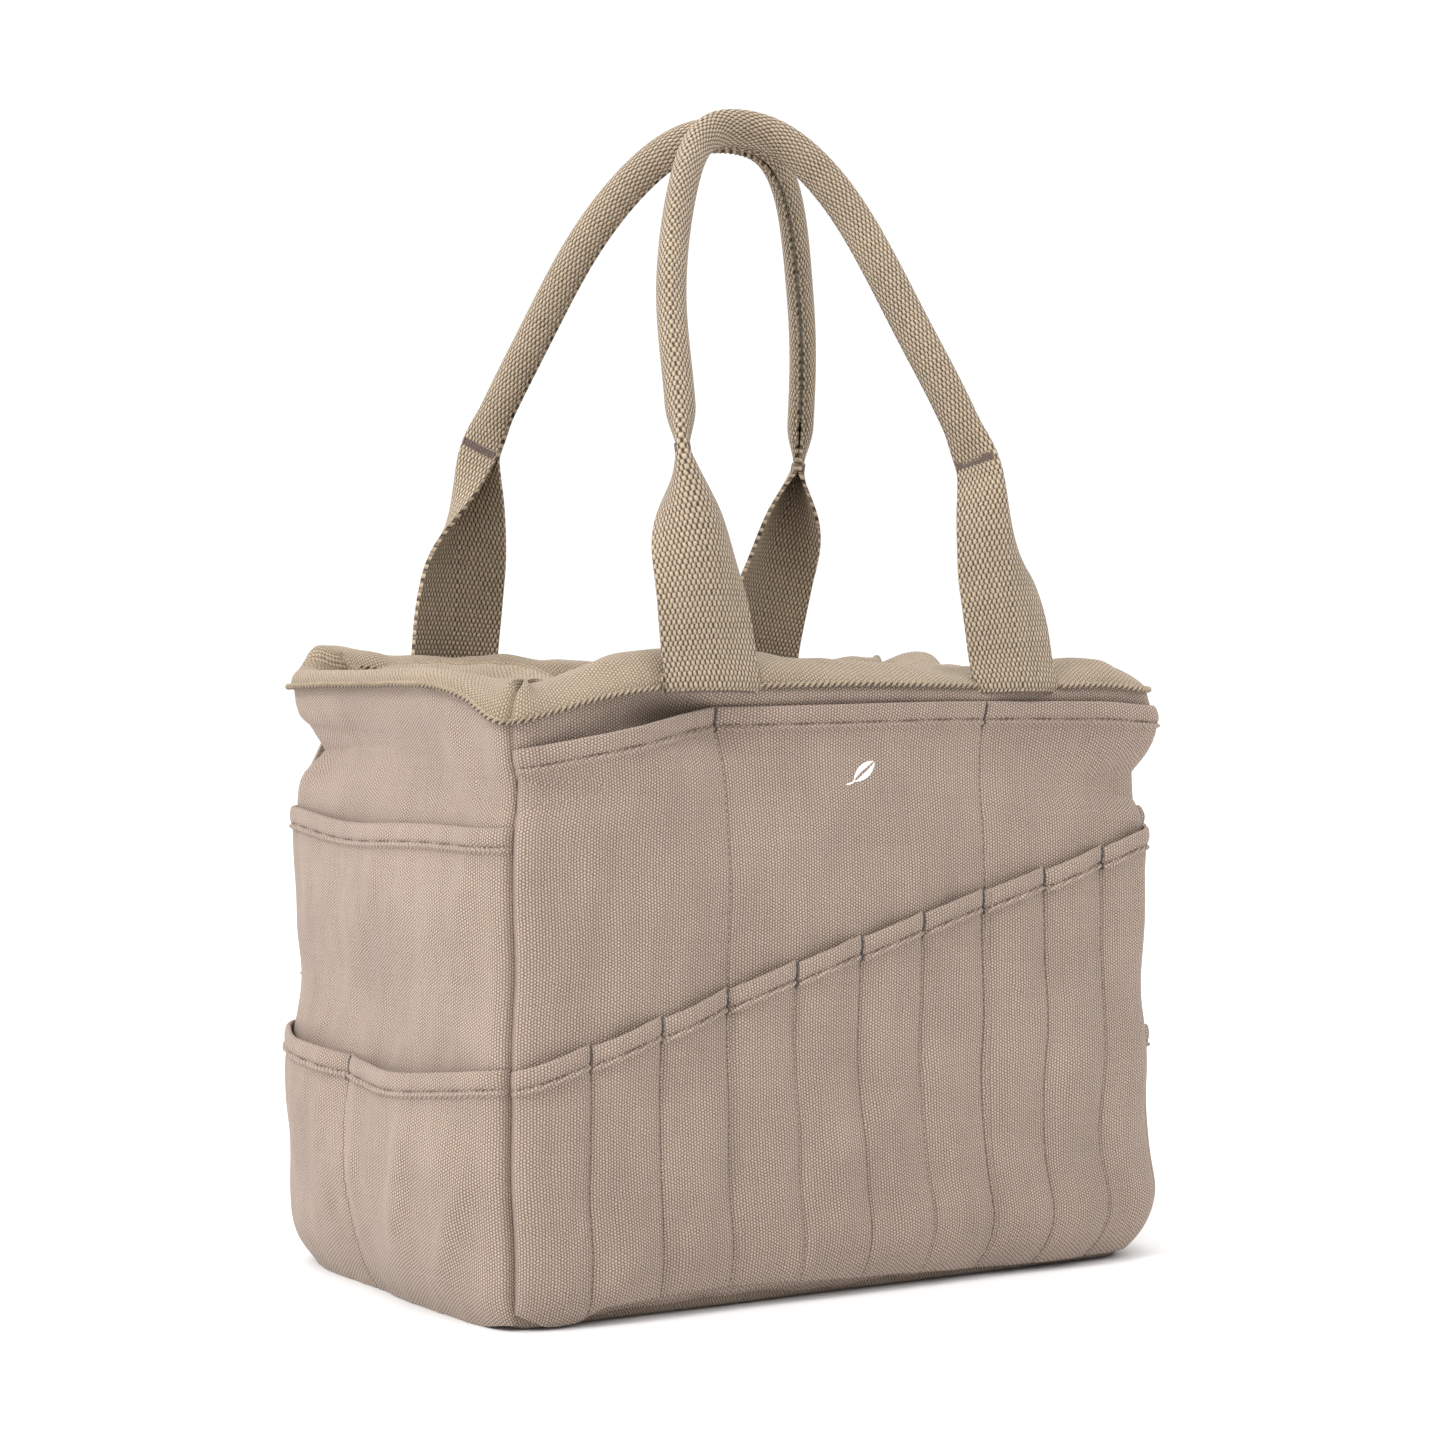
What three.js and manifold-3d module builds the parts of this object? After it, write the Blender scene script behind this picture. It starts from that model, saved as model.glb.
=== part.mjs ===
// Garden tool bag: a canvas tote with pockets on all four sides, a webbing collar round its mouth
// and two rolled webbing handles that lean together over it.
// Millimetres, +Z up. The origin is on the ground under the middle of the bag, X runs along the
// bag's length, and the front, with the slanted row of tool slots, faces -Y.
import * as THREE from "three";
import { mergeVertices } from "three/addons/utils/BufferGeometryUtils.js";
import Module from "manifold-3d";

const wasm = await Module();
wasm.setup();

// ---- driving dimensions ----
const GAP = 0.3; // between pieces that touch
const CANVAS = 1.6; // body canvas with its lining
const POCKET_CANVAS = 1.4;
const HALF_LENGTH = 175; // outer faces of the end panels
const HALF_DEPTH = 111; // outer faces of the front and back panels
const PANEL_TOP = 276;
const POCKET_HOLLOW = 4.6; // room between a pocket and what it is sewn to
const LAYER = GAP + POCKET_HOLLOW + POCKET_CANVAS; // what one pocket adds to the bag's depth
const BINDING_HEIGHT = 11;
const BINDING_THICKNESS = 0.8;
const SEAM_WIDTH = 1.6;

const BASE_LIP = 9; // height of the base panel's turned-up edge
const BASE_OVERHANG = 5; // how far the base stands out past the body panels
const BASE_CORNER = 16;
const BOARD_THICKNESS = 3;
const COVER_THICKNESS = 1.2;
const POCKET_BOTTOM = BASE_LIP + GAP;

const SLOTS = 10; // tool slots in the slanted front pocket
const SLOT_PITCH = (2 * HALF_LENGTH) / SLOTS;
const TALL_TOP = 269;
const TALL_SEAM_X = 2 * SLOT_PITCH; // the tall pockets' seams continue those of the slots
const SLANT_LOW = 114;
const SLANT_HIGH = 213;
const BACK_LOW_TOP = 150;
const BACK_LOW_BAYS = 4;
const MID_TOP = 219;
const LOW_TOP = 112;
const END_SEAM_Y = 28; // the ends' low pockets are split three to five

const COLLAR_THICKNESS = 2.4;
const COLLAR_LEVELS = [
  { z: PANEL_TOP + GAP, inset: 0 },
  { z: PANEL_TOP + 14, inset: 5 },
  { z: 304, inset: 20 },
];
const COLLAR_CORNER = 10;
const COLLAR_CORNER_STEPS = 5;

const WEBBING_WIDTH = 50;
const WEBBING_THICKNESS = 2.2;
const STRAP_X = 89; // middle of each strap
const ROOT_Y = 116; // middle of the webbing's thickness where it leaves the collar's seam
const ROOT_Z = 280;
const PINCH_Z = 397; // where the flat strap closes into the rolled grip
const APEX_Z = 561;
const APEX_Y = 9.8; // half the distance between the two grips where they meet
const ARCH_POWER = 2.5; // 2 is a parabola
const LEAN_POWER = 1.8; // the handles lean in more and more towards the top
const ROLL_TURN = THREE.MathUtils.degToRad(345); // the rolled webbing's edges nearly meet
const SEAM_TURN = THREE.MathUtils.degToRad(33); // how far the roll's seam faces into the arch
const CORE_RADIUS = 6.1;
const TACK = { along: 3, across: 10, thick: 0.8 };
const SECTION_POINTS = 11; // across the webbing
const STRAP_STEPS = 8;
const ARCH_STEPS = 26;

const CORNER_TAPE = { width: 10, thick: 2 };

// ---- materials ----
const fabric = (color, roughness) =>
  new THREE.MeshStandardMaterial({ color, roughness, metalness: 0 });
const materials = {
  canvas: fabric(0xb5a290, 0.95),
  binding: fabric(0xb8a693, 0.95),
  webbing: fabric(0xb3a283, 0.9),
  thread: fabric(0x8d8078, 0.8),
  tape: fabric(0xa99a86, 0.95),
  board: fabric(0x4a4744, 0.7),
  cord: fabric(0xd8d0c0, 0.95),
};

const bag = new THREE.Group();

function addPiece(name, geometry, material) {
  const mesh = new THREE.Mesh(geometry, material);
  mesh.name = name;
  bag.add(mesh);
  return mesh;
}

// ---- solids and booleans ----
function solidOf(geometry) {
  const bare = geometry.clone();
  bare.deleteAttribute("normal");
  bare.deleteAttribute("uv");
  const merged = mergeVertices(bare, 1e-4);
  return new wasm.Manifold(
    new wasm.Mesh({
      numProp: 3,
      vertProperties: new Float32Array(merged.attributes.position.array),
      triVerts: new Uint32Array(merged.index.array),
    }),
  );
}

function geometryOf(solid) {
  const mesh = solid.getMesh();
  const geometry = new THREE.BufferGeometry();
  geometry.setAttribute("position", new THREE.BufferAttribute(mesh.vertProperties, 3));
  geometry.setIndex(new THREE.BufferAttribute(mesh.triVerts, 1));
  const flat = geometry.toNonIndexed();
  flat.computeVertexNormals();
  return flat;
}

function boxBetween(low, high) {
  const size = high.map((value, i) => value - low[i]);
  const middle = high.map((value, i) => (value + low[i]) / 2);
  return new THREE.BoxGeometry(...size).translate(...middle);
}

// A prism whose outline is drawn in X and Z, from depth `near` to depth `far` along -Y.
function frontPrism(outline, near, far) {
  const shape = new THREE.Shape(outline.map(([x, z]) => new THREE.Vector2(x, z)));
  const prism = new THREE.ExtrudeGeometry(shape, { depth: far - near, bevelEnabled: false });
  return prism.rotateX(Math.PI / 2).translate(0, -near, 0);
}

// ---- the four sides ----
// Each side is drawn facing -Y, `out` from the bag's middle, and then turned into place.
const SIDES = {
  front: { turn: 0, out: HALF_DEPTH, half: HALF_LENGTH },
  right: { turn: Math.PI / 2, out: HALF_LENGTH, half: HALF_DEPTH },
  back: { turn: Math.PI, out: HALF_DEPTH, half: HALF_LENGTH },
  left: { turn: -Math.PI / 2, out: HALF_LENGTH, half: HALF_DEPTH },
};

function addToSide(side, name, geometry, material) {
  addPiece(name, geometry.rotateZ(SIDES[side].turn), material);
}

function addPanel(side, name) {
  const { out, half } = SIDES[side];
  const isEnd = side === "left" || side === "right";
  const reach = isEnd ? half - CANVAS - GAP : half;
  const low = [-reach, -out, CANVAS + GAP];
  const high = [reach, -out + CANVAS, PANEL_TOP];
  addToSide(side, name, boxBetween(low, high), materials.canvas);
}

// A pocket is a shallow tray, open at the top and against the bag: a face, two sides and a foot.
// `layer` is 0 for a pocket on the panel and 1 for one sewn over another pocket.
// The mouth's height goes from `topLeft` to `topRight`.
function addPocket(side, name, layer, topLeft, topRight) {
  const { out, half } = SIDES[side];
  const back = out + layer * LAYER + GAP;
  const front = out + (layer + 1) * LAYER;
  const slope = (topRight - topLeft) / (2 * half);
  const mouthAt = (x, lift = 0) => topLeft + slope * (x + half) + lift;
  const outline = [
    [-half, POCKET_BOTTOM],
    [half, POCKET_BOTTOM],
    [half, topRight],
    [-half, topLeft],
  ];
  const inside = half - POCKET_CANVAS;
  const hollow = [
    [-inside, POCKET_BOTTOM + POCKET_CANVAS],
    [inside, POCKET_BOTTOM + POCKET_CANVAS],
    [inside, mouthAt(inside, 1)],
    [-inside, mouthAt(-inside, 1)],
  ];
  const tray = solidOf(frontPrism(outline, back, front)).subtract(
    solidOf(frontPrism(hollow, back - 1, front - POCKET_CANVAS)),
  );
  addToSide(side, name, geometryOf(tray), materials.canvas);

  const band = [
    [-half, topLeft - BINDING_HEIGHT],
    [half, topRight - BINDING_HEIGHT],
    [half, topRight],
    [-half, topLeft],
  ];
  const bandGeometry = frontPrism(band, front + GAP, front + GAP + BINDING_THICKNESS);
  addToSide(side, `${name}_binding`, bandGeometry, materials.binding);
  return mouthAt;
}

// The line of stitching that divides a pocket, as a rib between the pocket and what it is sewn to.
function addSeam(side, name, layer, x, mouthAt) {
  const back = SIDES[side].out + layer * LAYER + GAP;
  const front = SIDES[side].out + (layer + 1) * LAYER - POCKET_CANVAS - GAP;
  const foot = POCKET_BOTTOM + POCKET_CANVAS + GAP;
  const [near, far] = [x - SEAM_WIDTH / 2, x + SEAM_WIDTH / 2];
  const outline = [
    [near, foot],
    [far, foot],
    [far, mouthAt(far)],
    [near, mouthAt(near)],
  ];
  addToSide(side, name, frontPrism(outline, back, front), materials.thread);
}

function addEnd(side) {
  addPanel(side, `${side}_end_panel`);
  addPocket(side, `${side}_mid_pocket`, 0, MID_TOP, MID_TOP);
  const lowMouth = addPocket(side, `${side}_low_pocket`, 1, LOW_TOP, LOW_TOP);
  // Drawn facing -Y, the bag's back is to the left of the left end and to the right of the right one.
  const seamX = side === "left" ? -END_SEAM_Y : END_SEAM_Y;
  addSeam(side, `${side}_low_pocket_seam`, 1, seamX, lowMouth);
}

function addTallPocket(side) {
  const mouth = addPocket(side, `${side}_tall_pocket`, 0, TALL_TOP, TALL_TOP);
  addSeam(side, `${side}_tall_pocket_seam_1`, 0, -TALL_SEAM_X, mouth);
  addSeam(side, `${side}_tall_pocket_seam_2`, 0, TALL_SEAM_X, mouth);
}

addPanel("front", "front_panel");
addTallPocket("front");
const slantMouth = addPocket("front", "front_slant_pocket", 1, SLANT_LOW, SLANT_HIGH);
for (let i = 1; i < SLOTS; i++) {
  const x = -HALF_LENGTH + i * SLOT_PITCH;
  addSeam("front", `front_slant_pocket_seam_${i}`, 1, x, slantMouth);
}

addPanel("back", "back_panel");
addTallPocket("back");
const backMouth = addPocket("back", "back_low_pocket", 1, BACK_LOW_TOP, BACK_LOW_TOP);
for (let i = 1; i < BACK_LOW_BAYS; i++) {
  const x = -HALF_LENGTH + (i * 2 * HALF_LENGTH) / BACK_LOW_BAYS;
  addSeam("back", `back_low_pocket_seam_${i}`, 1, x, backMouth);
}

addEnd("left");
addEnd("right");

// ---- base ----
function roundedRectangle(halfX, halfY, radius) {
  const shape = new THREE.Shape();
  shape.moveTo(halfX, -halfY + radius);
  shape.absarc(halfX - radius, halfY - radius, radius, 0, Math.PI / 2);
  shape.absarc(-halfX + radius, halfY - radius, radius, Math.PI / 2, Math.PI);
  shape.absarc(-halfX + radius, -halfY + radius, radius, Math.PI, 1.5 * Math.PI);
  shape.absarc(halfX - radius, -halfY + radius, radius, 1.5 * Math.PI, 2 * Math.PI);
  return shape;
}

function slab(halfX, halfY, radius, bottom, top) {
  const options = { depth: top - bottom, bevelEnabled: false, curveSegments: 4 };
  const shape = roundedRectangle(halfX, halfY, radius);
  return new THREE.ExtrudeGeometry(shape, options).translate(0, 0, bottom);
}

function addBase() {
  const halfX = HALF_LENGTH + BASE_OVERHANG;
  const halfY = HALF_DEPTH + BASE_OVERHANG;
  const outside = solidOf(slab(halfX, halfY, BASE_CORNER, 0, BASE_LIP));
  const corner = BASE_CORNER - CANVAS;
  const inside = solidOf(slab(halfX - CANVAS, halfY - CANVAS, corner, CANVAS, BASE_LIP + 1));
  // The body panels' square corners pass through the lip's round ones, so it is cut clear of them.
  const body = solidOf(
    boxBetween(
      [-HALF_LENGTH - GAP, -HALF_DEPTH - GAP, CANVAS],
      [HALF_LENGTH + GAP, HALF_DEPTH + GAP, BASE_LIP + 1],
    ),
  );
  addPiece("base_panel", geometryOf(outside.subtract(inside).subtract(body)), materials.canvas);

  const boardX = HALF_LENGTH - CANVAS - 2 * GAP;
  const boardY = HALF_DEPTH - CANVAS - 2 * GAP;
  const boardBottom = CANVAS + GAP;
  const boardTop = boardBottom + BOARD_THICKNESS;
  const board = slab(boardX, boardY, 6, boardBottom, boardTop);
  addPiece("base_board", board, materials.board);
  const coverTop = boardTop + GAP + COVER_THICKNESS;
  const cover = slab(boardX, boardY, 6, boardTop + GAP, coverTop);
  addPiece("base_cover", cover, materials.canvas);
  return coverTop;
}

const floorTop = addBase();

// ---- tapes that bind the four upright seams inside ----
function addCornerTapes(bottom) {
  const reach = CORNER_TAPE.width / 2 / Math.SQRT2 + CORNER_TAPE.thick / 2 / Math.SQRT2 + 2 * GAP;
  for (const [end, signX] of [["left", -1], ["right", 1]]) {
    for (const [face, signY] of [["front", -1], ["back", 1]]) {
      const height = PANEL_TOP - bottom - 2 * GAP;
      const tape = new THREE.BoxGeometry(CORNER_TAPE.width, CORNER_TAPE.thick, height);
      tape.rotateZ((signX * signY * Math.PI) / 4);
      const x = signX * (HALF_LENGTH - CANVAS - reach);
      const y = signY * (HALF_DEPTH - CANVAS - reach);
      tape.translate(x, y, bottom + GAP + height / 2);
      addPiece(`${face}_${end}_seam_tape`, tape, materials.tape);
    }
  }
}

addCornerTapes(floorTop);

// ---- closed solids from rings of points ----
// `rings` hold the same number of points each. `loop` joins the last ring to the first;
// otherwise both end rings are filled as a strip between their two halves.
function solidFromRings(rings, loop) {
  const count = rings[0].length;
  const positions = rings.flat().flatMap((p) => [p.x, p.y, p.z]);
  const index = [];
  const last = loop ? rings.length : rings.length - 1;
  for (let r = 0; r < last; r++) {
    const here = r * count;
    const next = ((r + 1) % rings.length) * count;
    for (let i = 0; i < count; i++) {
      const j = (i + 1) % count;
      index.push(here + i, here + j, next + j, here + i, next + j, next + i);
    }
  }
  if (!loop) {
    const end = (rings.length - 1) * count;
    for (let i = 0; i < count / 2 - 1; i++) {
      const [a, b, c, d] = [i, i + 1, count - 2 - i, count - 1 - i];
      index.push(a, d, c, a, c, b);
      index.push(end + a, end + b, end + c, end + a, end + c, end + d);
    }
  }
  const geometry = new THREE.BufferGeometry();
  geometry.setAttribute("position", new THREE.Float32BufferAttribute(positions, 3));
  geometry.setIndex(index);
  geometry.computeVertexNormals();
  return geometry;
}

// ---- collar ----
function addCollar() {
  const corners = [[1, 1], [-1, 1], [-1, -1], [1, -1]];
  const rings = [];
  corners.forEach(([signX, signY], quarter) => {
    for (let step = 0; step <= COLLAR_CORNER_STEPS; step++) {
      const angle = ((quarter + step / COLLAR_CORNER_STEPS) * Math.PI) / 2;
      const at = (inset, z) => {
        const middleX = signX * (HALF_LENGTH - inset - COLLAR_CORNER);
        const middleY = signY * (HALF_DEPTH - inset - COLLAR_CORNER);
        return new THREE.Vector3(
          middleX + COLLAR_CORNER * Math.cos(angle),
          middleY + COLLAR_CORNER * Math.sin(angle),
          z,
        );
      };
      const inner = (inset, z) => {
        const point = at(inset, z);
        point.x -= COLLAR_THICKNESS * Math.cos(angle);
        point.y -= COLLAR_THICKNESS * Math.sin(angle);
        return point;
      };
      const outside = COLLAR_LEVELS.map(({ z, inset }) => at(inset, z)).reverse();
      const inside = COLLAR_LEVELS.map(({ z, inset }) => inner(inset, z));
      rings.push([...inside, ...outside]);
    }
  });
  addPiece("rim_collar", solidFromRings(rings, true), materials.webbing);
}

addCollar();

// ---- handles ----
// The front handle's line: straight straps at x = -STRAP_X and STRAP_X, and an arch between them.
function handlePoint(x, z) {
  const rise = Math.max(0, (z - ROOT_Z) / (APEX_Z - ROOT_Z));
  const y = -ROOT_Y + (ROOT_Y - APEX_Y) * rise ** LEAN_POWER;
  return new THREE.Vector3(x, y, z);
}

function archHeight(x) {
  return PINCH_Z + (APEX_Z - PINCH_Z) * (1 - Math.abs(x / STRAP_X) ** ARCH_POWER);
}

// Stations from the left root to the right one. `roll` goes from 0, flat, to 1, closed.
function handleStations() {
  const strap = [];
  for (let i = 0; i < STRAP_STEPS; i++) {
    const share = i / STRAP_STEPS;
    const z = ROOT_Z + (PINCH_Z - ROOT_Z) * share;
    strap.push({ x: STRAP_X, z, roll: THREE.MathUtils.smoothstep(share, 0.35, 1) });
  }
  const arch = [];
  for (let i = 0; i <= ARCH_STEPS; i++) {
    const x = -STRAP_X * Math.cos((Math.PI * i) / ARCH_STEPS);
    arch.push({ x, z: archHeight(x), roll: 1 });
  }
  const left = strap.map((station) => ({ ...station, x: -STRAP_X }));
  const stations = [...left, ...arch, ...strap.reverse()];
  const points = stations.map(({ x, z }) => handlePoint(x, z));
  return stations.map((station, i) => {
    const before = points[Math.max(0, i - 1)];
    const after = points[Math.min(points.length - 1, i + 1)];
    const along = after.clone().sub(before).normalize();
    const step = 0.5;
    const lower = handlePoint(0, station.z - step);
    const upper = handlePoint(0, station.z + step);
    const slope = (upper.y - lower.y) / (upper.z - lower.z);
    const inward = new THREE.Vector3(0, 1, -slope).normalize();
    const intoArch = inward.clone().cross(along).normalize();
    const turn = SEAM_TURN * station.roll;
    const outward = inward
      .multiplyScalar(-Math.cos(turn))
      .addScaledVector(intoArch, -Math.sin(turn))
      .normalize();
    const across = outward.clone().cross(along).normalize();
    return { ...station, point: points[i], along, outward, across };
  });
}

// The webbing's section is an arc of its own width that closes from flat to a tube.
function webbingRing({ point, outward, across, roll }) {
  const turn = Math.max(0.02, ROLL_TURN * roll);
  const radius = WEBBING_WIDTH / turn;
  const centroid = (radius * Math.sin(turn / 2)) / (turn / 2);
  const at = (share, offset) => {
    const angle = turn * share;
    return point
      .clone()
      .addScaledVector(across, (radius + offset) * Math.sin(angle))
      .addScaledVector(outward, (radius + offset) * Math.cos(angle) - centroid);
  };
  const shares = Array.from({ length: SECTION_POINTS }, (_, i) => i / (SECTION_POINTS - 1) - 0.5);
  const outside = shares.map((share) => at(share, WEBBING_THICKNESS / 2)).reverse();
  const inside = shares.map((share) => at(share, -WEBBING_THICKNESS / 2));
  return [...outside, ...inside];
}

function coreRing({ point, outward, across }) {
  const sides = 10;
  return Array.from({ length: sides }, (_, i) => {
    const angle = (-2 * Math.PI * i) / sides;
    return point
      .clone()
      .addScaledVector(across, CORE_RADIUS * Math.sin(angle))
      .addScaledVector(outward, CORE_RADIUS * Math.cos(angle));
  });
}

// A short row of thread across the end of the roll, on the side away from the roll's own seam.
function tackGeometry({ point, along, outward, across }) {
  const rollRadius = WEBBING_WIDTH / ROLL_TURN + WEBBING_THICKNESS / 2;
  const centre = point.clone().addScaledVector(outward, rollRadius + GAP + TACK.thick / 2);
  const tack = new THREE.BoxGeometry(TACK.across, TACK.thick, TACK.along);
  const turn = new THREE.Matrix4().makeBasis(across, outward, along);
  return tack.applyMatrix4(turn.setPosition(centre));
}

function addHandle(side) {
  const stations = handleStations();
  const rolled = stations.filter(({ roll }) => roll === 1);
  const turn = SIDES[side].turn;
  const add = (name, geometry, material) => addPiece(name, geometry.rotateZ(turn), material);
  add(`${side}_handle_webbing`, solidFromRings(stations.map(webbingRing), false), materials.webbing);
  add(`${side}_handle_core`, solidFromRings(rolled.map(coreRing), false), materials.cord);
  add(`${side}_handle_tack_1`, tackGeometry(rolled[1]), materials.thread);
  add(`${side}_handle_tack_2`, tackGeometry(rolled.at(-2)), materials.thread);
}

addHandle("front");
addHandle("back");

export default bag;
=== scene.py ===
"""Visual model of the garden tool bag: canvas sides with stitched pockets, a webbing collar round the mouth
and two rolled webbing handles. Shapes are worked out in millimetres and become metres in make_object."""
import math

import bmesh
import bpy
import numpy as np
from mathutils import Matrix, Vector


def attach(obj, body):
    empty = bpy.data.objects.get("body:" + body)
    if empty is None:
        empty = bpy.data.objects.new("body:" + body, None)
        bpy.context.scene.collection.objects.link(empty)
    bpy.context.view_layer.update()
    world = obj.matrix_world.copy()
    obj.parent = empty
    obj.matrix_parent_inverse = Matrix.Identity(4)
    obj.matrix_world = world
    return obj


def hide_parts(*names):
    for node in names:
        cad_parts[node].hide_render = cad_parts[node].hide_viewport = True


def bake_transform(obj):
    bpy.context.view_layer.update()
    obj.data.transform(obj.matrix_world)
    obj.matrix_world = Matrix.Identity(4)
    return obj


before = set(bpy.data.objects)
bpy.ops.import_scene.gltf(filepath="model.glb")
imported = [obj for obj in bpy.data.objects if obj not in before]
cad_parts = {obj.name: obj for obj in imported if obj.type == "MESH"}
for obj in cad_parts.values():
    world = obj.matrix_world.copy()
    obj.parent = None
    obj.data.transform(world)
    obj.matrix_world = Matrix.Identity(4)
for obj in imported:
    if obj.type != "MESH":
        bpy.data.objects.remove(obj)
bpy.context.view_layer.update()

MM = 0.001
TAU = 2 * math.pi
HALF_ROOT = math.sqrt(0.5)

# ---- driving dimensions, in millimetres ----
CORNER_X, CORNER_Y = 175.5, 111.0  # the upright seams, at mid height
CORNER_ROUND = 14.0
SEAM_REACH = 58.0  # how far along a side an upright seam's own pinch carries
PANEL_THICKNESS = 1.5
PANEL_FOOT = 2.2
CLOTH = 1.2  # one thickness of pocket canvas
HEM_THICKNESS = 2.6
HEM_HEIGHT = 11.0
STACK = 1.7  # a pocket's outer face over the face it is sewn to
RIM_Z = 283.5
POCKET_FOOT = 8.0
STITCH_PITCH = 3.3
THREAD_WIDTH = 0.62
BAR_PITCH = 1.15  # between the stitches of a dense bar

SLOT_SEAMS = [-142 + 35.7 * i for i in range(9)]
TALL_SEAMS = [SLOT_SEAMS[2], SLOT_SEAMS[6]]
BACK_LOW_SEAMS = [-88.0, 0.0, 88.0]
END_SEAM = 23.0  # the low end pockets' dividing seam, from the middle towards the back

BASE_X, BASE_Y = 177.5, 113.0  # the base's own half length and half depth
BOARD = (2.7, 5.7)  # underside and top
COVER = (6.3, 7.5)
COLLAR_WIDTH = 50.0
COLLAR_HALF_THICKNESS = 0.8
COLLAR_FOLD = 27.0  # from the band's stitched edge to its crest
ROPE_RADIUS = 0.74
ROPE_SPREAD = 0.86
ROPE_TURN = 6.8  # length of one full twist
ROPE_SHADOW = 0.7  # how far the dark cord, painted shade between the strands and a painted shadow line under the rope, hangs below them
LEAF_PLACE = (4.0, 243.0)
LEAF_LENGTH, LEAF_WIDTH = 14.0, 6.4
LEAF_TILT = math.radians(38)

WEBBING = 50.0
WEBBING_THICKNESS = 2.2
ROOT_Y, ROOT_Z, APEX_Y, APEX_Z = 118.6, 283.5, 9.9, 561.0
LEAN_FROM, LEAN_POWER = 280.0, 1.8
FOOT_FLARE = 3.4  # how far a strap's foot stands out over the collar's edge
STATION_STEP = 2.4  # even spacing of the handles' cross sections
STRAP_FOLD = 99.0  # the run below the pinch over which a strap folds lengthwise
ROLL_WEBBING = 42.0  # the webbing's width that shows round the roll
ROLL_OVAL = 0.26
CORE_RADII = (3.2, 4.7)  # across and outwards
ROLL_STITCH_PITCH = 3.4
# spacing of the dark stitches under the strap feet, which also make the painted shadow line below each foot
FOOT_SHADOW_STITCH_PITCH = 2.6
SEAM_TURN = math.radians(33)
# Middle of the left and right strap at the foot and at the pinch, the pinch's height, the grip's power, and
# how far the grip sways sideways low down and at its top. The back handle is worked out turned round.
HANDLES = {
    "front": {"feet": (-77.8, 92.8), "pinches": (-81.5, 86.0), "pinch_z": 390.0, "power": 2.6,
              "sway": (-4.5, 3.0)},
    "back": {"feet": (-94.5, 91.0), "pinches": (-106.5, 88.0), "pinch_z": 404.0, "power": 2.5,
             "sway": (-3.0, -1.0)},
}

# ---- light and view: places in metres, sensor and lens in millimetres ----
SKY_FRONT, SKY_BACK, SKY_TOP = 0.5, 1.08, 2.5
CAMERA_PLACE = (-0.773, -1.257, 0.2725)
CAMERA_YAW, CAMERA_PITCH = math.radians(31.6), math.radians(-0.26)
SENSOR, LENS = 36, 73.669
FLOOR_HALF = 40.0  # in metres


# ---- small helpers ----
def smooth(x, low, high):
    """0 below low, 1 above high, and a smooth step between."""
    t = np.clip((np.asarray(x, float) - low) / (high - low), 0, 1)
    return t * t * (3 - 2 * t)


def hump(x, centre, width):
    """A bell of height 1."""
    return np.exp(-(((np.asarray(x, float) - centre) / width) ** 2))


def humps(x, level, parts):
    """A level, with humps of (height, centre, width) added to it."""
    return level + sum(height * hump(x, centre, width) for height, centre, width in parts)


def waves(seed, x, y, length, octaves=3):
    """A smooth random undulation, about -1 to 1, with waves of about this length."""
    rng = np.random.default_rng(seed)
    total, weight = 0.0, 0.0
    for octave in range(octaves):
        share = 0.6**octave
        k = TAU / length * 1.8**octave
        for _ in range(4):
            angle, phase = rng.uniform(0, TAU, 2)
            total = total + share * np.sin(k * (x * math.cos(angle) + y * math.sin(angle)) + phase)
        weight += share * 2.2
    return total / weight


def fold(s, z, s0, z0, angle, length, width, height):
    """One soft fold: a ridge of this length, width and height, lying at an angle to the horizontal."""
    c, n = math.cos(math.radians(angle)), math.sin(math.radians(angle))
    along = (s - s0) * c + (z - z0) * n
    across = -(s - s0) * n + (z - z0) * c
    return height * np.exp(-((along / length) ** 2) - (across / width) ** 2)


def unit(vectors):
    return vectors / np.linalg.norm(vectors, axis=-1, keepdims=True)


def run_along(points):
    """Distance travelled from the first point of a path to each of its points."""
    return np.concatenate([[0], np.cumsum(np.linalg.norm(np.diff(points, axis=0), axis=1))])


def resample(places, at, points):
    """Points of a path at new places along it."""
    return np.stack([np.interp(places, at, column) for column in points.T], axis=1)


def closed(values):
    """A run with its first value again at its end."""
    return np.concatenate([values, values[:1]])


def hann(width):
    """Weights of a smoothing window over this many neighbours to each side."""
    kernel = np.hanning(2 * width + 3)[1:-1]
    return kernel / kernel.sum()


# ---- the body's form ----
# Each side is worked out as if it faced -Y: s runs to the right along it, n outwards and z up.
SIDE_TURNS = {"front": 0, "right": 1, "back": 2, "left": 3}
SIDE_CORNERS = {
    "front": ("front_left", "front_right"),
    "right": ("front_right", "back_right"),
    "back": ("back_right", "back_left"),
    "left": ("back_left", "front_left"),
}
PANEL_NAMES = {
    "front": "front_panel",
    "back": "back_panel",
    "left": "left_end_panel",
    "right": "right_end_panel",
}
# How far each upright seam pinches in under the rim, at what height, over what height, and how far it
# rounds in at the foot.
PINCH = {
    "front_left": (6.0, 236.0, 13.0, 2.0),
    "front_right": (6.5, 235.5, 11.0, 5.0),
    "back_right": (6.0, 240.0, 15.0, 6.0),
    "back_left": (11.5, 255.0, 11.0, 5.0),
}
# How much larger each upright corner's rounding is at the floor.
FLOOR_ROUND = {"front_left": 6.0, "front_right": 10.0, "back_right": 14.0, "back_left": 24.0}
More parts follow.
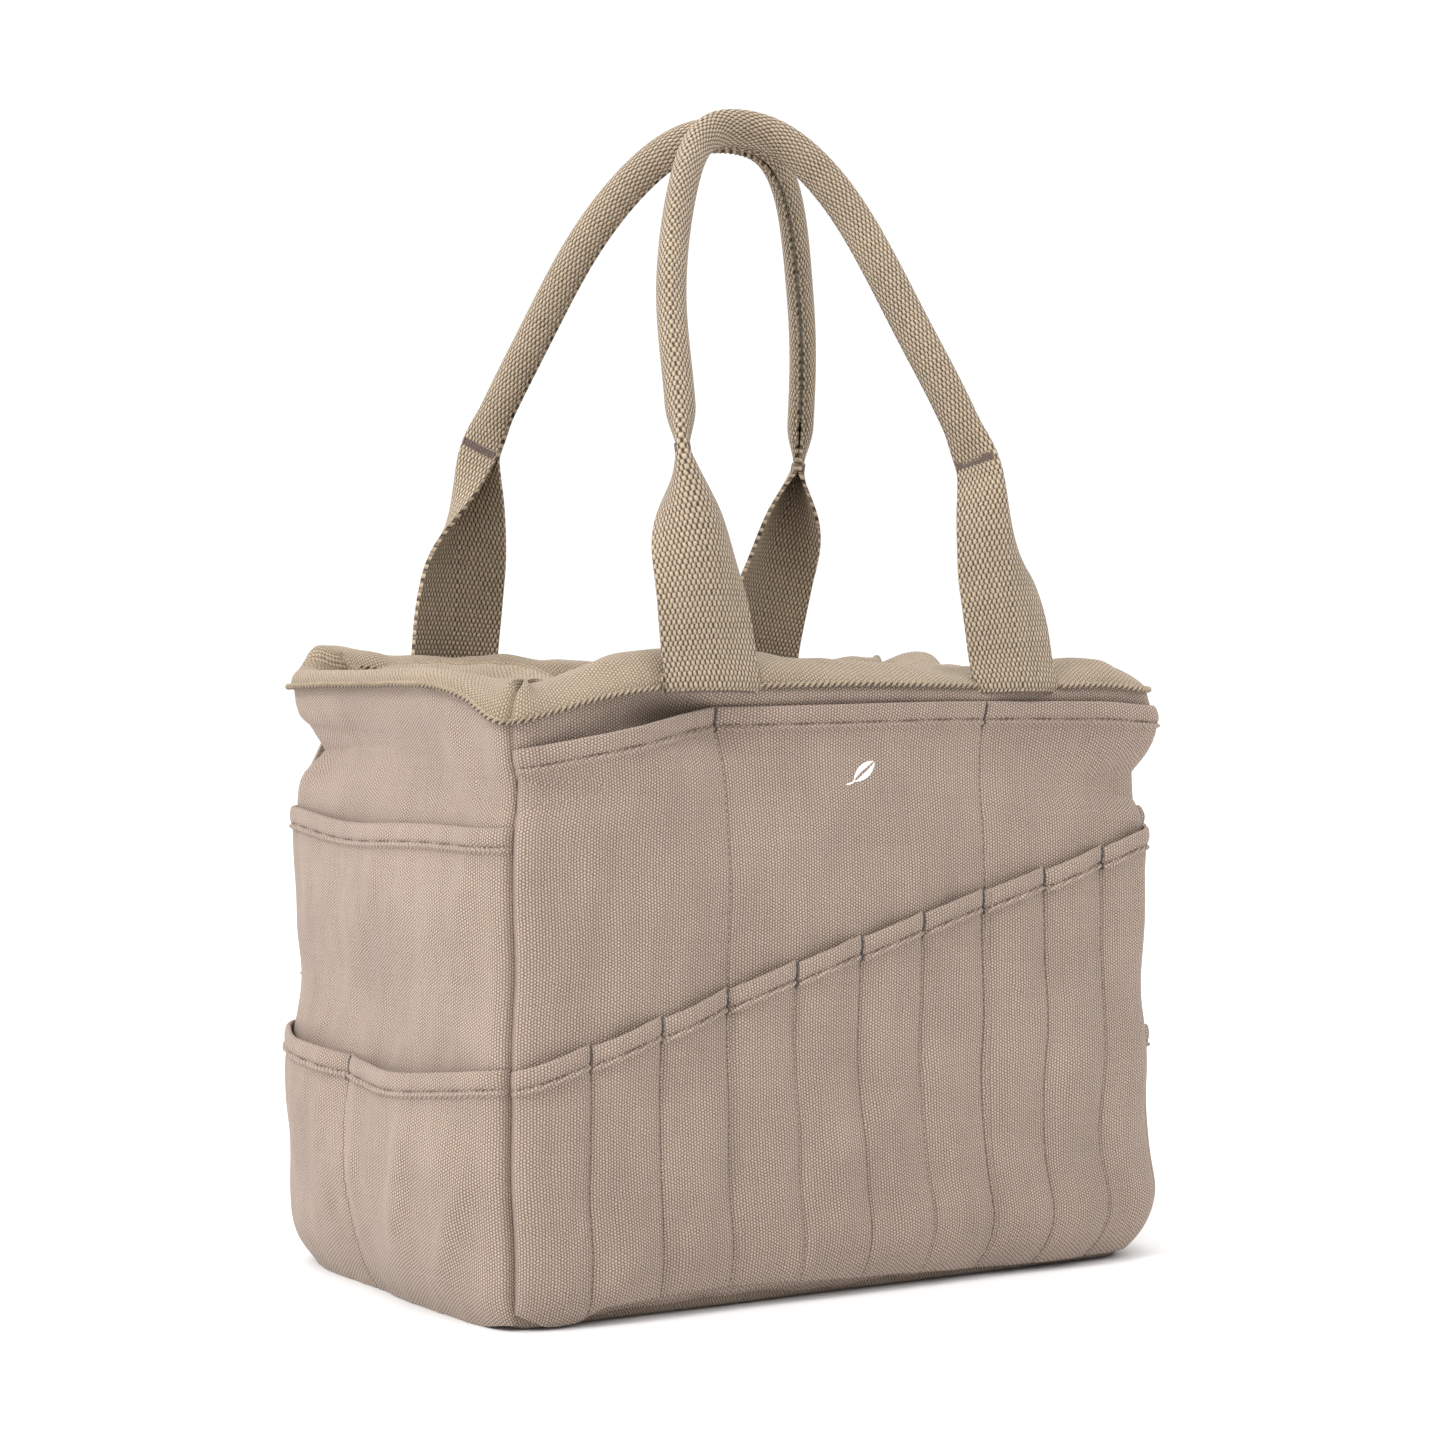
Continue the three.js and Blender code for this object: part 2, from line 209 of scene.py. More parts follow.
# How much further out than the plain box each upright seam stands, and humps by height: those that its sides
# share, and those that stay close to the seam.
SPREAD = {"front_left": 0.5, "front_right": -0.5, "back_right": 2.0, "back_left": 4.5}
CORNER_HUMPS = {"front_right": [(8.5, 27, 20)], "back_left": [(-6.0, 140, 22), (2.0, 288, 8)]}
SEAM_HUMPS = {"front_right": [(9.5, 261, 15)]}
# How far each side stands out past the line between its seams: a level, and humps by height.
END_SLACK = (1.5, [(6.0, 55, 50), (2.5, 175, 35), (-4.0, 248, 18)])
SLACK = {
    "front": (1.0, [(2.0, 60, 60), (-1.2, 250, 25)]),
    "back": (1.5, [(2.5, 80, 70)]),
    "left": END_SLACK,
    "right": END_SLACK,
}
# Soft folds: place along and up, angle to the horizontal, length, width, height.
FOLDS = {
    "left": [
        (70, 245, -52, 60, 9, 2.2), (88, 200, 70, 36, 7, 1.8), (-60, 250, 20, 50, 12, -2.5),
        (40, 55, 82, 40, 8, 2.4), (-8, 60, 98, 38, 7, 2.0), (84, 45, 62, 32, 7, 2.6),
    ],
    "front": [(-150, 225, -60, 30, 8, 1.6), (-120, 30, 55, 30, 8, 2.0), (150, 245, 60, 32, 9, 2.0)],
}


def half_of(side):
    return CORNER_X if side in ("front", "back") else CORNER_Y


def to_frame(side, s, n, z):
    """A side's own (along, out, up) in the shared frame."""
    x, y = [(s, -n), (n, s), (-s, n), (-n, -s)][SIDE_TURNS[side]]
    return np.stack(np.broadcast_arrays(x, y, z), axis=-1)


def corner_plain(corner, z):
    """Half length and half depth out to an upright seam at a height, before the seam's own pinch."""
    flare = 3.0 * smooth(z, 252, 276)
    inward = PINCH[corner][3] * np.exp(-np.clip(z, 0, None) / 13)
    out = humps(z, SPREAD[corner] * (1 - smooth(z, 225, 275)), CORNER_HUMPS.get(corner, []))
    return CORNER_X + out + flare - inward, CORNER_Y + 0.7 * flare - 0.7 * inward


def corner_own(corner, z):
    """What an upright seam adds close by: its pinch under the rim, its bulge over that, and its wander."""
    pinch, height, spread, _ = PINCH[corner]
    inward = pinch * hump(z, height, spread)
    wander = 0.9 * np.sin(z / 23.0 + len(corner)) + 0.5 * np.sin(z / 9.7 + 2 * len(corner))
    return humps(z, wander - inward, SEAM_HUMPS.get(corner, [])), 0.5 * wander - 0.7 * inward


def corner_round(corner, z):
    """The radius an upright corner is rounded to, fuller near the floor."""
    return CORNER_ROUND + FLOOR_ROUND[corner] * np.exp(-np.clip(z, 0, None) / 16)


def seams_of(side, z, form):
    """(along, out) to the upright seams at the side's two ends, by one of the forms above."""
    ends = [form(corner, z) for corner in SIDE_CORNERS[side]]
    return ends if side in ("front", "back") else [(y, x) for x, y in ends]


def crown_of(side, s, z):
    """How far a side stands out past the line between its seams. The front hangs in behind its left bay."""
    slack = humps(z, *SLACK[side])
    if side == "front":
        slack = slack - 16.0 * hump(s, -90, 32) * hump(z, 268, 15)
        slack = slack + 2.6 * hump(z, 279, 4) * smooth(s, -75, -35)
    return slack * (1 - (s / half_of(side)) ** 4)


def body_noise(side, s, z):
    seed = 11 + SIDE_TURNS[side]
    wave = 1.3 * waves(seed, s, z, 120, 2) + 0.5 * waves(seed + 20, s * 1.8, z, 55, 2)
    return wave + sum(fold(s, z, *form) for form in FOLDS.get(side, []))


def surface(side, s, z, offset):
    """A point of the side, offset outwards from the body canvas's outer face."""
    s, z, offset = np.broadcast_arrays(s, z, offset)
    (s0, n0), (s1, n1) = seams_of(side, z, corner_plain)
    (own_s0, own_n0), (own_s1, own_n1) = seams_of(side, z, corner_own)
    half = half_of(side)
    share = (s / half + 1) / 2
    near_first, near_last = hump(share * 2 * half, 0, SEAM_REACH), hump((1 - share) * 2 * half, 0, SEAM_REACH)
    along = -s0 * (1 - share) + s1 * share - own_s0 * near_first + own_s1 * near_last
    line = n0 * (1 - share) + n1 * share + own_n0 * near_first + own_n1 * near_last
    gap = np.clip(np.minimum(share, 1 - share) * 2 * half, 0, None)
    first, last = SIDE_CORNERS[side]
    radius = np.where(share < 0.5, corner_round(first, z), corner_round(last, z))
    phi = np.arcsin(np.clip(HALF_ROOT - gap / radius, 0, HALF_ROOT))
    drawn_in = (radius - CORNER_ROUND) * (1 - HALF_ROOT)
    rounding = radius * (np.cos(phi) - HALF_ROOT) - drawn_in
    inner = smooth(gap, 0, 30)
    tuck = (3.2 if side == "left" else 6.0) * np.clip((17 - z) / 15, 0, 1) ** 2
    n = line + rounding + crown_of(side, s, z) * inner + body_noise(side, s, z) * inner - tuck
    near = np.minimum(1, 0.5 + gap / 4)
    offset = offset * np.where(offset > 0, near, 1)
    sign = np.where(share > 0.5, 1, -1)
    groove = 0.7 * (2.0 * np.exp(-((gap / 0.9) ** 2)) + 0.7 * np.exp(-((gap / 3.2) ** 2)))
    along = along + sign * (np.sin(phi) * offset - groove - drawn_in * np.exp(-gap / radius))
    n = n + np.cos(phi) * offset - groove
    return to_frame(side, along, n, z)


def rim_height(side, s):
    """The height of the mouth's edge, which sinks towards the corners."""
    half = half_of(side)
    level = RIM_Z + 0.9 * waves(40 + SIDE_TURNS[side], s, s * 0, 140, 2)
    if side == "front":
        level = level + 1.0 - 17.5 * np.exp(-(np.clip((s + half) / 46, 0, None) ** 1.4))
        return level - 3.0 * hump(s, half, 20)
    if side == "left":
        return level - 17.0 * np.exp(-(np.clip((half - s) / 27, 0, None) ** 1.5))
    if side == "right":
        return level - 2.0 * hump(s, -half, 20) - 2.0 * hump(s, half, 25)
    return level - 2.0 * hump(s, -half, 25)


# ---- pockets ----
class Pocket:
    """One pocket: its side, the pocket it is sewn over, its mouth's height, and its dividing seams. pillow is
    how full it is, gape how far each bay's mouth stands open, and skew moves the gape to the bay's right.
    drift and wander say how far its seams lean and stray."""

    def __init__(self, name, side, under, mouth, seams, pillow, gape, seed, foot=None, drift=0.0, wander=1.0,
                 skew=1.0):
        self.name, self.side, self.under, self.seed = name, side, under, seed
        self.mouth_line, self.foot_line = mouth, foot or (lambda s: POCKET_FOOT + 0 * s)
        self.seams, self.pillow, self.gape, self.skew = seams, pillow, gape, skew
        self.drift, self.wander = drift, wander
        self.half = half_of(side)
        self.edges = np.array([-self.half, *seams, self.half])

    def bay(self, s):
        """The bay a point is in, how far across it from 0 to 1, and the bay's width."""
        index = np.clip(np.searchsorted(self.edges, s, side="right") - 1, 0, len(self.edges) - 2)
        low, high = self.edges[index], self.edges[index + 1]
        return index, np.clip((s - low) / (high - low), 0, 1), high - low

    def mouth(self, s):
        index, share, _ = self.bay(s)
        return self.mouth_line(s) + self.step(index, share)

    def step(self, index, share):
        return 0.0

    def warp(self, s, z):
        """The seams wander a little along the side as they run down, and may drift to one end."""
        from_end = self.half - np.abs(s)
        depth = self.mouth(s) - z
        wave = waves(self.seed + 5, s * 0.6, z, 170, 2) * 3.2 + waves(self.seed + 6, s * 1.3, z, 45, 1) * 0.5
        wander = self.wander * wave * smooth(from_end, 0, 25) * smooth(depth, 5, 80)
        return wander + self.drift * smooth(depth, 8, 100) * smooth(from_end, 0, 90)

    def own(self, s, z):
        """How far the pocket stands off what is under it."""
        index, share, width = self.bay(s)
        depth = np.clip(self.mouth(s) - z, 0, None)
        arch = np.sin(math.pi * share)
        low = smooth(z - self.foot_line(s), 0, 22)
        fill = self.pillow * np.minimum(width / 60, 1.5) * arch**0.7 * (0.35 + 0.65 * low)
        gape = np.take(np.resize(self.gape, len(self.edges) - 1), index) * np.sin(math.pi * share**self.skew)
        gape = gape * np.exp(-depth / 38)
        ripple = 0.6 * (1 + waves(self.seed, s * 1.5, z * 0.8, 42, 3)) * arch**0.5
        crease = sum(0.4 * hump(s, seam, 4.2) - 0.8 * hump(s, seam, 1.2) for seam in self.seams)
        beside = sum(hump(np.abs(s - seam), 2.2, 1.6) for seam in self.seams)
        return STACK + fill + gape + ripple + crease + 0.25 * np.sin(z / STITCH_PITCH * TAU) * beside

    def hem(self, s, z):
        """The folded hem: a double strip, a dent where it is stitched, and the welt of its turned edge."""
        depth = np.clip(self.mouth(s) - z, 0, None)
        strip = 0.95 * (1 - smooth(depth, HEM_HEIGHT - 0.2, HEM_HEIGHT + 0.7))
        dent = 1.0 * hump(depth, HEM_HEIGHT - 2.5, 0.75) * (0.75 + 0.25 * np.cos(s / STITCH_PITCH * TAU))
        welt = 1.15 * hump(depth, HEM_HEIGHT - 0.9, 0.75) * (1 + 0.35 * waves(self.seed + 9, s, z, 14, 2))
        swell = 0.6 * hump(depth, 4.5, 3.0)
        return strip - dent + welt + swell

    def offset(self, s, z):
        """Outwards offset of the pocket's outer face, from its own unwarped place."""
        shifted = s + self.warp(s, z)
        below = self.under.face(shifted, z) if self.under else 0.0
        return below + self.own(s, z) + self.hem(s, z)

    def face(self, s, z):
        """The same at a place on the side, for what lies over it."""
        return self.offset(s - self.warp(s, z), z)

    def point(self, s, z, depth=0.0):
        return surface(self.side, s + self.warp(s, z), z, self.offset(s, z) - depth)


class SlotPocket(Pocket):
    """Its hem is stitched down slot by slot, so each stretch starts a little lower than the last one ends."""

    def step(self, index, share):
        lift = np.sin(index * 2.1 + 0.5)
        return 1.6 * (share - 0.5) + (0.5 + 0.35 * lift) * np.sin(math.pi * share)


def front_tall_mouth(s):
    rising = -0.185 * np.clip(-72 - s, 0, None)
    return 273.8 + 2.5 * smooth(s, -70, 70) + rising - 2.0 * smooth(s, 135, CORNER_X)


def back_tall_mouth(s):
    return rim_height("back", s) - 9.0 - 2.0 * smooth(s, CORNER_X - 30, CORNER_X)


def back_low_mouth(s):
    return 150 + 0.8 * np.sin(s / 19)


def slant_mouth(s):
    return 115.0 + 0.2825 * (s + CORNER_X) + 2.3 * hump(s, -5, 95)


def slant_foot(s):
    """The first slot hangs down over the lip like a tongue; past it the edge rises and then falls slowly."""
    tongue = 1 - smooth(s, -147, -134)
    corner = 7.0 * (1 - smooth(s, -176, -160))
    return 7.0 + 4.5 * hump(s, -72, 62) - 3.0 * smooth(s, 10, 110) - 6.3 * tongue + corner


def mid_mouth(s):
    sag = 2.0 * np.cos(s / CORNER_Y * math.pi / 2)
    return 221.5 - sag + 0.8 * np.sin(s / 24) + 2.4 * smooth(-s, 10, CORNER_Y)


def low_mouth(s):
    """The left low pocket's mouth, lower in its front bay; the right one's is its mirror image."""
    front = smooth(s, -26, 10)
    back_bay = 119.0 - 9.5 * np.sqrt(np.clip((s + CORNER_Y) / 85, 0, 1))
    front_bay = 108.5 + 7.0 * np.clip((s - 30) / 80, 0, 1) ** 1.5 - 1.5 * hump(s, 20, 35)
    return back_bay * (1 - front) + front_bay * front


def low_foot(s):
    return 0.3 + 2.4 * smooth(s, 92, 109)


front_tall = Pocket("front_tall_pocket", "front", None, front_tall_mouth, TALL_SEAMS, pillow=0.9,
                    gape=[13.0, 1.0, 1.6], seed=101, wander=0.3, drift=3.0, skew=1.5)
front_slant = SlotPocket("front_slant_pocket", "front", front_tall, slant_mouth, SLOT_SEAMS, pillow=2.4,
                         gape=[1.6, 2.2, 1.3], seed=131, foot=slant_foot)
back_tall = Pocket("back_tall_pocket", "back", None, back_tall_mouth, [-s for s in TALL_SEAMS[::-1]],
                   pillow=0.9, gape=[2.0, 1.4, 3.0], seed=161)
back_low = Pocket("back_low_pocket", "back", back_tall, back_low_mouth, BACK_LOW_SEAMS, pillow=1.6,
                  gape=[2.0, 3.0, 2.2, 2.6], seed=191)
left_mid = Pocket("left_mid_pocket", "left", None, mid_mouth, [], pillow=0.9, gape=[1.8], seed=221)
left_low = Pocket("left_low_pocket", "left", left_mid, low_mouth, [-END_SEAM], pillow=1.5, gape=[3.0, 3.2],
                  seed=251, foot=low_foot, drift=9.0)
right_mid = Pocket("right_mid_pocket", "right", None, mid_mouth, [], pillow=0.9, gape=[2.5], seed=281)
right_low = Pocket("right_low_pocket", "right", right_mid, lambda s: low_mouth(-s), [END_SEAM], pillow=1.5,
                   gape=[3.2, 5.5], seed=311, foot=lambda s: low_foot(-s), drift=-9.0)
POCKETS = [front_tall, front_slant, back_tall, back_low, left_mid, left_low, right_mid, right_low]


def grid_faces(rows, cols, loop_rows, loop_cols):
    """Faces of a grid of points, and the matching corners in a grid that isn't wrapped."""
    r, c = np.meshgrid(np.arange(rows - 1 + loop_rows), np.arange(cols - 1 + loop_cols), indexing="ij")
    r, c = r.ravel(), c.ravel()
    corners = [(r, c), (r, c + 1), (r + 1, c + 1), (r + 1, c)]
    faces = np.stack([(i % rows) * cols + j % cols for i, j in corners], axis=1)
    flat = np.stack([i * (cols + loop_cols) + j for i, j in corners], axis=1)
    return faces, flat


def uv_grid(across, along):
    """Flat places for a grid of points: across the cloth by column, along it by row."""
    return np.stack(np.broadcast_arrays(np.asarray(across)[None, :], np.asarray(along)[:, None]), axis=-1)


def volume(points, faces):
    a, b, c, d = (points[faces[:, i]] for i in range(4))
    return float((a * np.cross(b, c)).sum() + (a * np.cross(c, d)).sum()) / 6


def make_object(name, points, faces, uvs, look, body, sharp=50):
    """A mesh object from points in millimetres, faces, and one UV in millimetres per face corner."""
    mesh = bpy.data.meshes.new(name)
    mesh.from_pydata((points * MM).tolist(), [], faces)
    layer = mesh.uv_layers.new(name="cloth")
    layer.data.foreach_set("uv", (np.asarray(uvs, float) * MM).ravel())
    mesh.polygons.foreach_set("use_smooth", [True] * len(mesh.polygons))
    mesh.materials.append(MATERIALS[look])
    mesh.update()
    mesh.set_sharp_from_angle(angle=math.radians(sharp))
    obj = bpy.data.objects.new(name, mesh)
    bpy.context.scene.collection.objects.link(obj)
    if body:
        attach(obj, body)
    return obj


def zipper(front, back, height):
    """Triangles that close the strip between two lines of points that run up side by side."""
    faces, i, j = [], 0, 0
    while i < len(front) - 1 or j < len(back) - 1:
        ahead = j == len(back) - 1 or (i < len(front) - 1 and height[front[i + 1]] <= height[back[j + 1]])
        if ahead:
            faces.append([front[i], front[i + 1], back[j]])
            i += 1
        else:
            faces.append([front[i], back[j + 1], back[j]])
            j += 1
    return faces


def grid_object(name, points, uv, look, body="bag", loop_rows=False, loop_cols=False, capped=False,
                zip_at=None):
    """A closed grid. capped fills its first and last row. zip_at closes the first and last column too, as two
    lines of points: up to that row, and after it."""
    rows, cols = points.shape[:2]
    flat_points, flat_uv = points.reshape(-1, 3), uv.reshape(-1, 2)
    faces, corners = grid_faces(rows, cols, loop_rows, loop_cols)
    flip = volume(flat_points, faces) < 0
    if flip:
        faces, corners = faces[:, ::-1], corners[:, ::-1]
    faces_list = faces.tolist()
    uvs = flat_uv[corners.ravel()].tolist()
    index = np.arange(rows * cols).reshape(rows, cols)
    uv_index = np.arange(uv.shape[0] * uv.shape[1]).reshape(uv.shape[:2])
    for last in (False, True) if capped else ():
        row = rows - 1 if last else 0
        order = slice(None, None, -1 if last == flip else 1)
        faces_list.append(index[row, order].tolist())
        uvs.extend(flat_uv[uv_index[row, :cols][order]].tolist())
    for last in (False, True) if zip_at else ():
        col = cols - 1 if last else 0
        line = index[:, col]
        where = dict(zip(line.tolist(), uv_index[:rows, col].tolist()))
        for face in zipper(line[:zip_at].tolist(), line[zip_at:][::-1].tolist(), flat_points[:, 2]):
            if last == flip:
                face = face[::-1]
            faces_list.append(face)
            uvs.extend(flat_uv[[where[v] for v in face]].tolist())
    return make_object(name, flat_points, faces_list, uvs, look, body)


def columns_for(half, seams, step):
    """Places along a side: evenly spaced, closer at seams and at the side's ends."""
    places = set(np.round(np.linspace(-half, half, int(2 * half / step) + 1), 2))
    beside = (0.05, 0.7, 1.5, 2.4, 3.6, 5)
    for seam in seams:
        places = {p for p in places if abs(p - seam) > 5.5}
        places |= {round(seam + sign * d, 2) for d in beside for sign in (-1, 1)}
    for end in (-half, half):
        places = {p for p in places if abs(p - end) > 7.5}
        places |= {round(end - math.copysign(d, end), 3) for d in (0, 0.8, 1.7, 2.8, 4.2, 6)}
    return np.array(sorted(places))


# How far below its top edge a sheet has rows of points, closer where a hem is stitched.
HEM_ROWS = [15, 13.6, 12.6, 12, 11.5, 11, 10.6, 10.2, 9.8, 9.4, 9, 8.6, 8.2, 7.7, 7, 5.5, 4, 2.6, 1.7]
PLAIN_ROWS = [12, 8, 5, 3]
BACK_TOP = 15  # how far down the back of a sheet its even rows start


def cloth_sheet(name, half, seams, foot, top, point, hem, thickness, step):
    """A sheet of canvas as a thin solid. point(s, z, depth) gives a place `depth` behind its outer face."""
    s = columns_for(half, seams, step)
    low, high = foot(s), top(s)
    edge = (HEM_THICKNESS if hem else thickness) / 2
    bands = HEM_ROWS if hem else PLAIN_ROWS
    first = np.linspace(0, 1, int(float((high - low).max()) / step) + 2)[:-1]
    first = np.concatenate([[0, 0.006, 0.014], first[1:]])
    rows = [(low + q * (high - bands[0] - low), 0 * s) for q in first]
    rows += [(high - d, 0 * s) for d in bands]
    for angle in np.linspace(0, math.pi, 7):
        rows.append((high - edge + edge * math.sin(angle), edge * (1 - math.cos(angle)) + 0 * s))
    front_count = len(rows) - 3
    if hem:
        rows += [(high - d, HEM_THICKNESS + 0 * s) for d in (5, HEM_HEIGHT - 1.5)]
        rows.append((high - HEM_HEIGHT - 1.5, thickness + 0.2 + 0 * s))
    for q in np.linspace(1, 0, 16)[int(hem):]:
        rows.append((low + q * (high - BACK_TOP - low), thickness + 0 * s))
    z, depth = (np.array(values) for values in zip(*rows))
    points = point(np.broadcast_to(s, z.shape), z, depth)
    steps = np.linalg.norm(np.diff(points[:front_count], axis=1), axis=2).mean(axis=0)
    across = np.concatenate([[0], np.cumsum(steps)])
    uv = closed(np.stack([np.broadcast_to(across, z.shape), z + depth], axis=-1))
    return grid_object(name, points, uv, "canvas", loop_rows=True, zip_at=front_count)


# ---- stitches ----
# A stitch's rings: place along it, share of its width.
STITCH_RINGS = [(-1.0, 0.15), (-0.62, 0.8), (0.0, 1.0), (0.62, 0.8), (1.0, 0.15)]
STITCH_SIDES = 6


def stitch_object(name, centres, along, normals, length, width, look="thread", body="bag"):
    """A row of raised stitches in one mesh: small bars of thread that dive into the cloth at their ends."""
    along = unit(along)
    across = unit(np.cross(along, normals))
    up = np.cross(across, along)
    lengths = np.broadcast_to(np.asarray(length, float), len(centres))[:, None]
    rings = []
    for place, size in STITCH_RINGS:
        dive = -0.3 * width * place**2
        for angle in TAU * np.arange(STITCH_SIDES) / STITCH_SIDES:
            sideways = across * (width / 2 * size * math.cos(angle))
            rings.append(centres + along * place * lengths / 2 + sideways
                         + up * (width * 0.42 * size * math.sin(angle) + dive))
    per = len(rings)
    points = np.stack(rings, axis=1).reshape(-1, 3)
    faces, _ = grid_faces(len(STITCH_RINGS), STITCH_SIDES, False, True)
    one = faces.tolist()
    one.append(list(range(STITCH_SIDES)))
    one.append(list(range(per - 1, per - 1 - STITCH_SIDES, -1)))
    if volume(points[:per], faces) < 0:
        one = [f[::-1] for f in one]
    all_faces = [[v + i * per for v in f] for i in range(len(centres)) for f in one]
    uvs = np.zeros((sum(len(f) for f in one) * len(centres), 2))
    return make_object(name, points, all_faces, uvs, look, body, sharp=80)


def normal_of(point, s, z):
    """Outward normals of a sheet by finite differences."""
    return unit(np.cross(point(s + 0.4, z) - point(s - 0.4, z), point(s, z + 0.4) - point(s, z - 0.4)))


def stitch_line(name, point, s, z, length=2.2, width=THREAD_WIDTH, lift=0.1, look="thread"):
    """Stitches centred at the given places of a sheet, along the line through them."""
    centres, normals = point(s, z), normal_of(point, s, z)
    along = np.gradient(centres, axis=0)
    return stitch_object(name, centres + normals * lift, along, normals, length, width, look)


def hem_stitches(pocket):
    s = np.arange(-pocket.half + 3, pocket.half - 2, STITCH_PITCH)
    stitch_line(pocket.name + "_hem_stitches", pocket.point, s, pocket.mouth(s) - (HEM_HEIGHT - 2.6))


def seam_stitches(name, pocket, s, low):
    """The line that divides a pocket, with a dense bar over the hem where the strain is."""
    mouth = float(pocket.mouth(np.array([s - 0.2]))[0])
    z = np.arange(low, mouth - HEM_HEIGHT - 1, STITCH_PITCH)
    line = stitch_line(name, pocket.point, np.full(len(z), s), z, length=1.9, width=0.66)
    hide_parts(name)
    bar = np.arange(mouth - HEM_HEIGHT - 0.5, mouth - 0.3, BAR_PITCH)
    wobble = s + 0.35 * np.sin(bar * 2.3)
    stitch_line(name + "_tack", pocket.point, wobble, bar, length=1.8, width=1.5, lift=0.35, look="tack")


# ---- materials ----
class Nodes:
    """Short names for building a node tree."""

    def __init__(self, tree):
        self.tree = tree

    def node(self, kind, **settings):
        node = self.tree.nodes.new(kind)
        for key, value in settings.items():
            setattr(node, key, value)
        return node

    def put(self, value, socket):
        if isinstance(value, bpy.types.NodeSocket):
            self.tree.links.new(value, socket)
        else:
            socket.default_value = value

    def math(self, operation, a, b=0.0, c=0.0):
        node = self.node("ShaderNodeMath", operation=operation)
        for value, socket in zip((a, b, c), node.inputs):
            self.put(value, socket)
        return node.outputs[0]

    def mix(self, factor, a, b):
        node = self.node("ShaderNodeMix", data_type="RGBA")
        for value, socket in ((factor, node.inputs["Factor"]), (a, node.inputs[6]), (b, node.inputs[7])):
            self.put(value, socket)
        return node.outputs[2]

    def remap(self, value, low, high, to_low=0.0, to_high=1.0, steps="SMOOTHSTEP"):
        node = self.node("ShaderNodeMapRange", interpolation_type=steps)
        keys = ("Value", "From Min", "From Max", "To Min", "To Max")
        for key, number in zip(keys, (value, low, high, to_low, to_high)):
            self.put(number, node.inputs[key])
        return node.outputs["Result"]

    def noise(self, vector, scale, detail=2.0, roughness=0.5):
        node = self.node("ShaderNodeTexNoise")
        keys = ("Vector", "Scale", "Detail", "Roughness")
        for key, value in zip(keys, (vector, scale, detail, roughness)):
            self.put(value, node.inputs[key])
        return node.outputs["Fac"]

    def stretched_noise(self, vector, scale, detail):
        node = self.node("ShaderNodeMapping")
        self.put(vector, node.inputs["Vector"])
        self.put(scale, node.inputs["Scale"])
        return self.noise(node.outputs["Vector"], 1.0, detail)

    def split(self, vector):
        node = self.node("ShaderNodeSeparateXYZ")
        self.put(vector, node.inputs[0])
        return node.outputs


def colour(r, g, b):
    """A colour given as it looks on screen, 0 to 255, in the renderer's linear values."""
    def linear(v):
        v /= 255
        return v / 12.92 if v <= 0.04045 else ((v + 0.055) / 1.055) ** 2.4

    return (linear(r), linear(g), linear(b), 1.0)


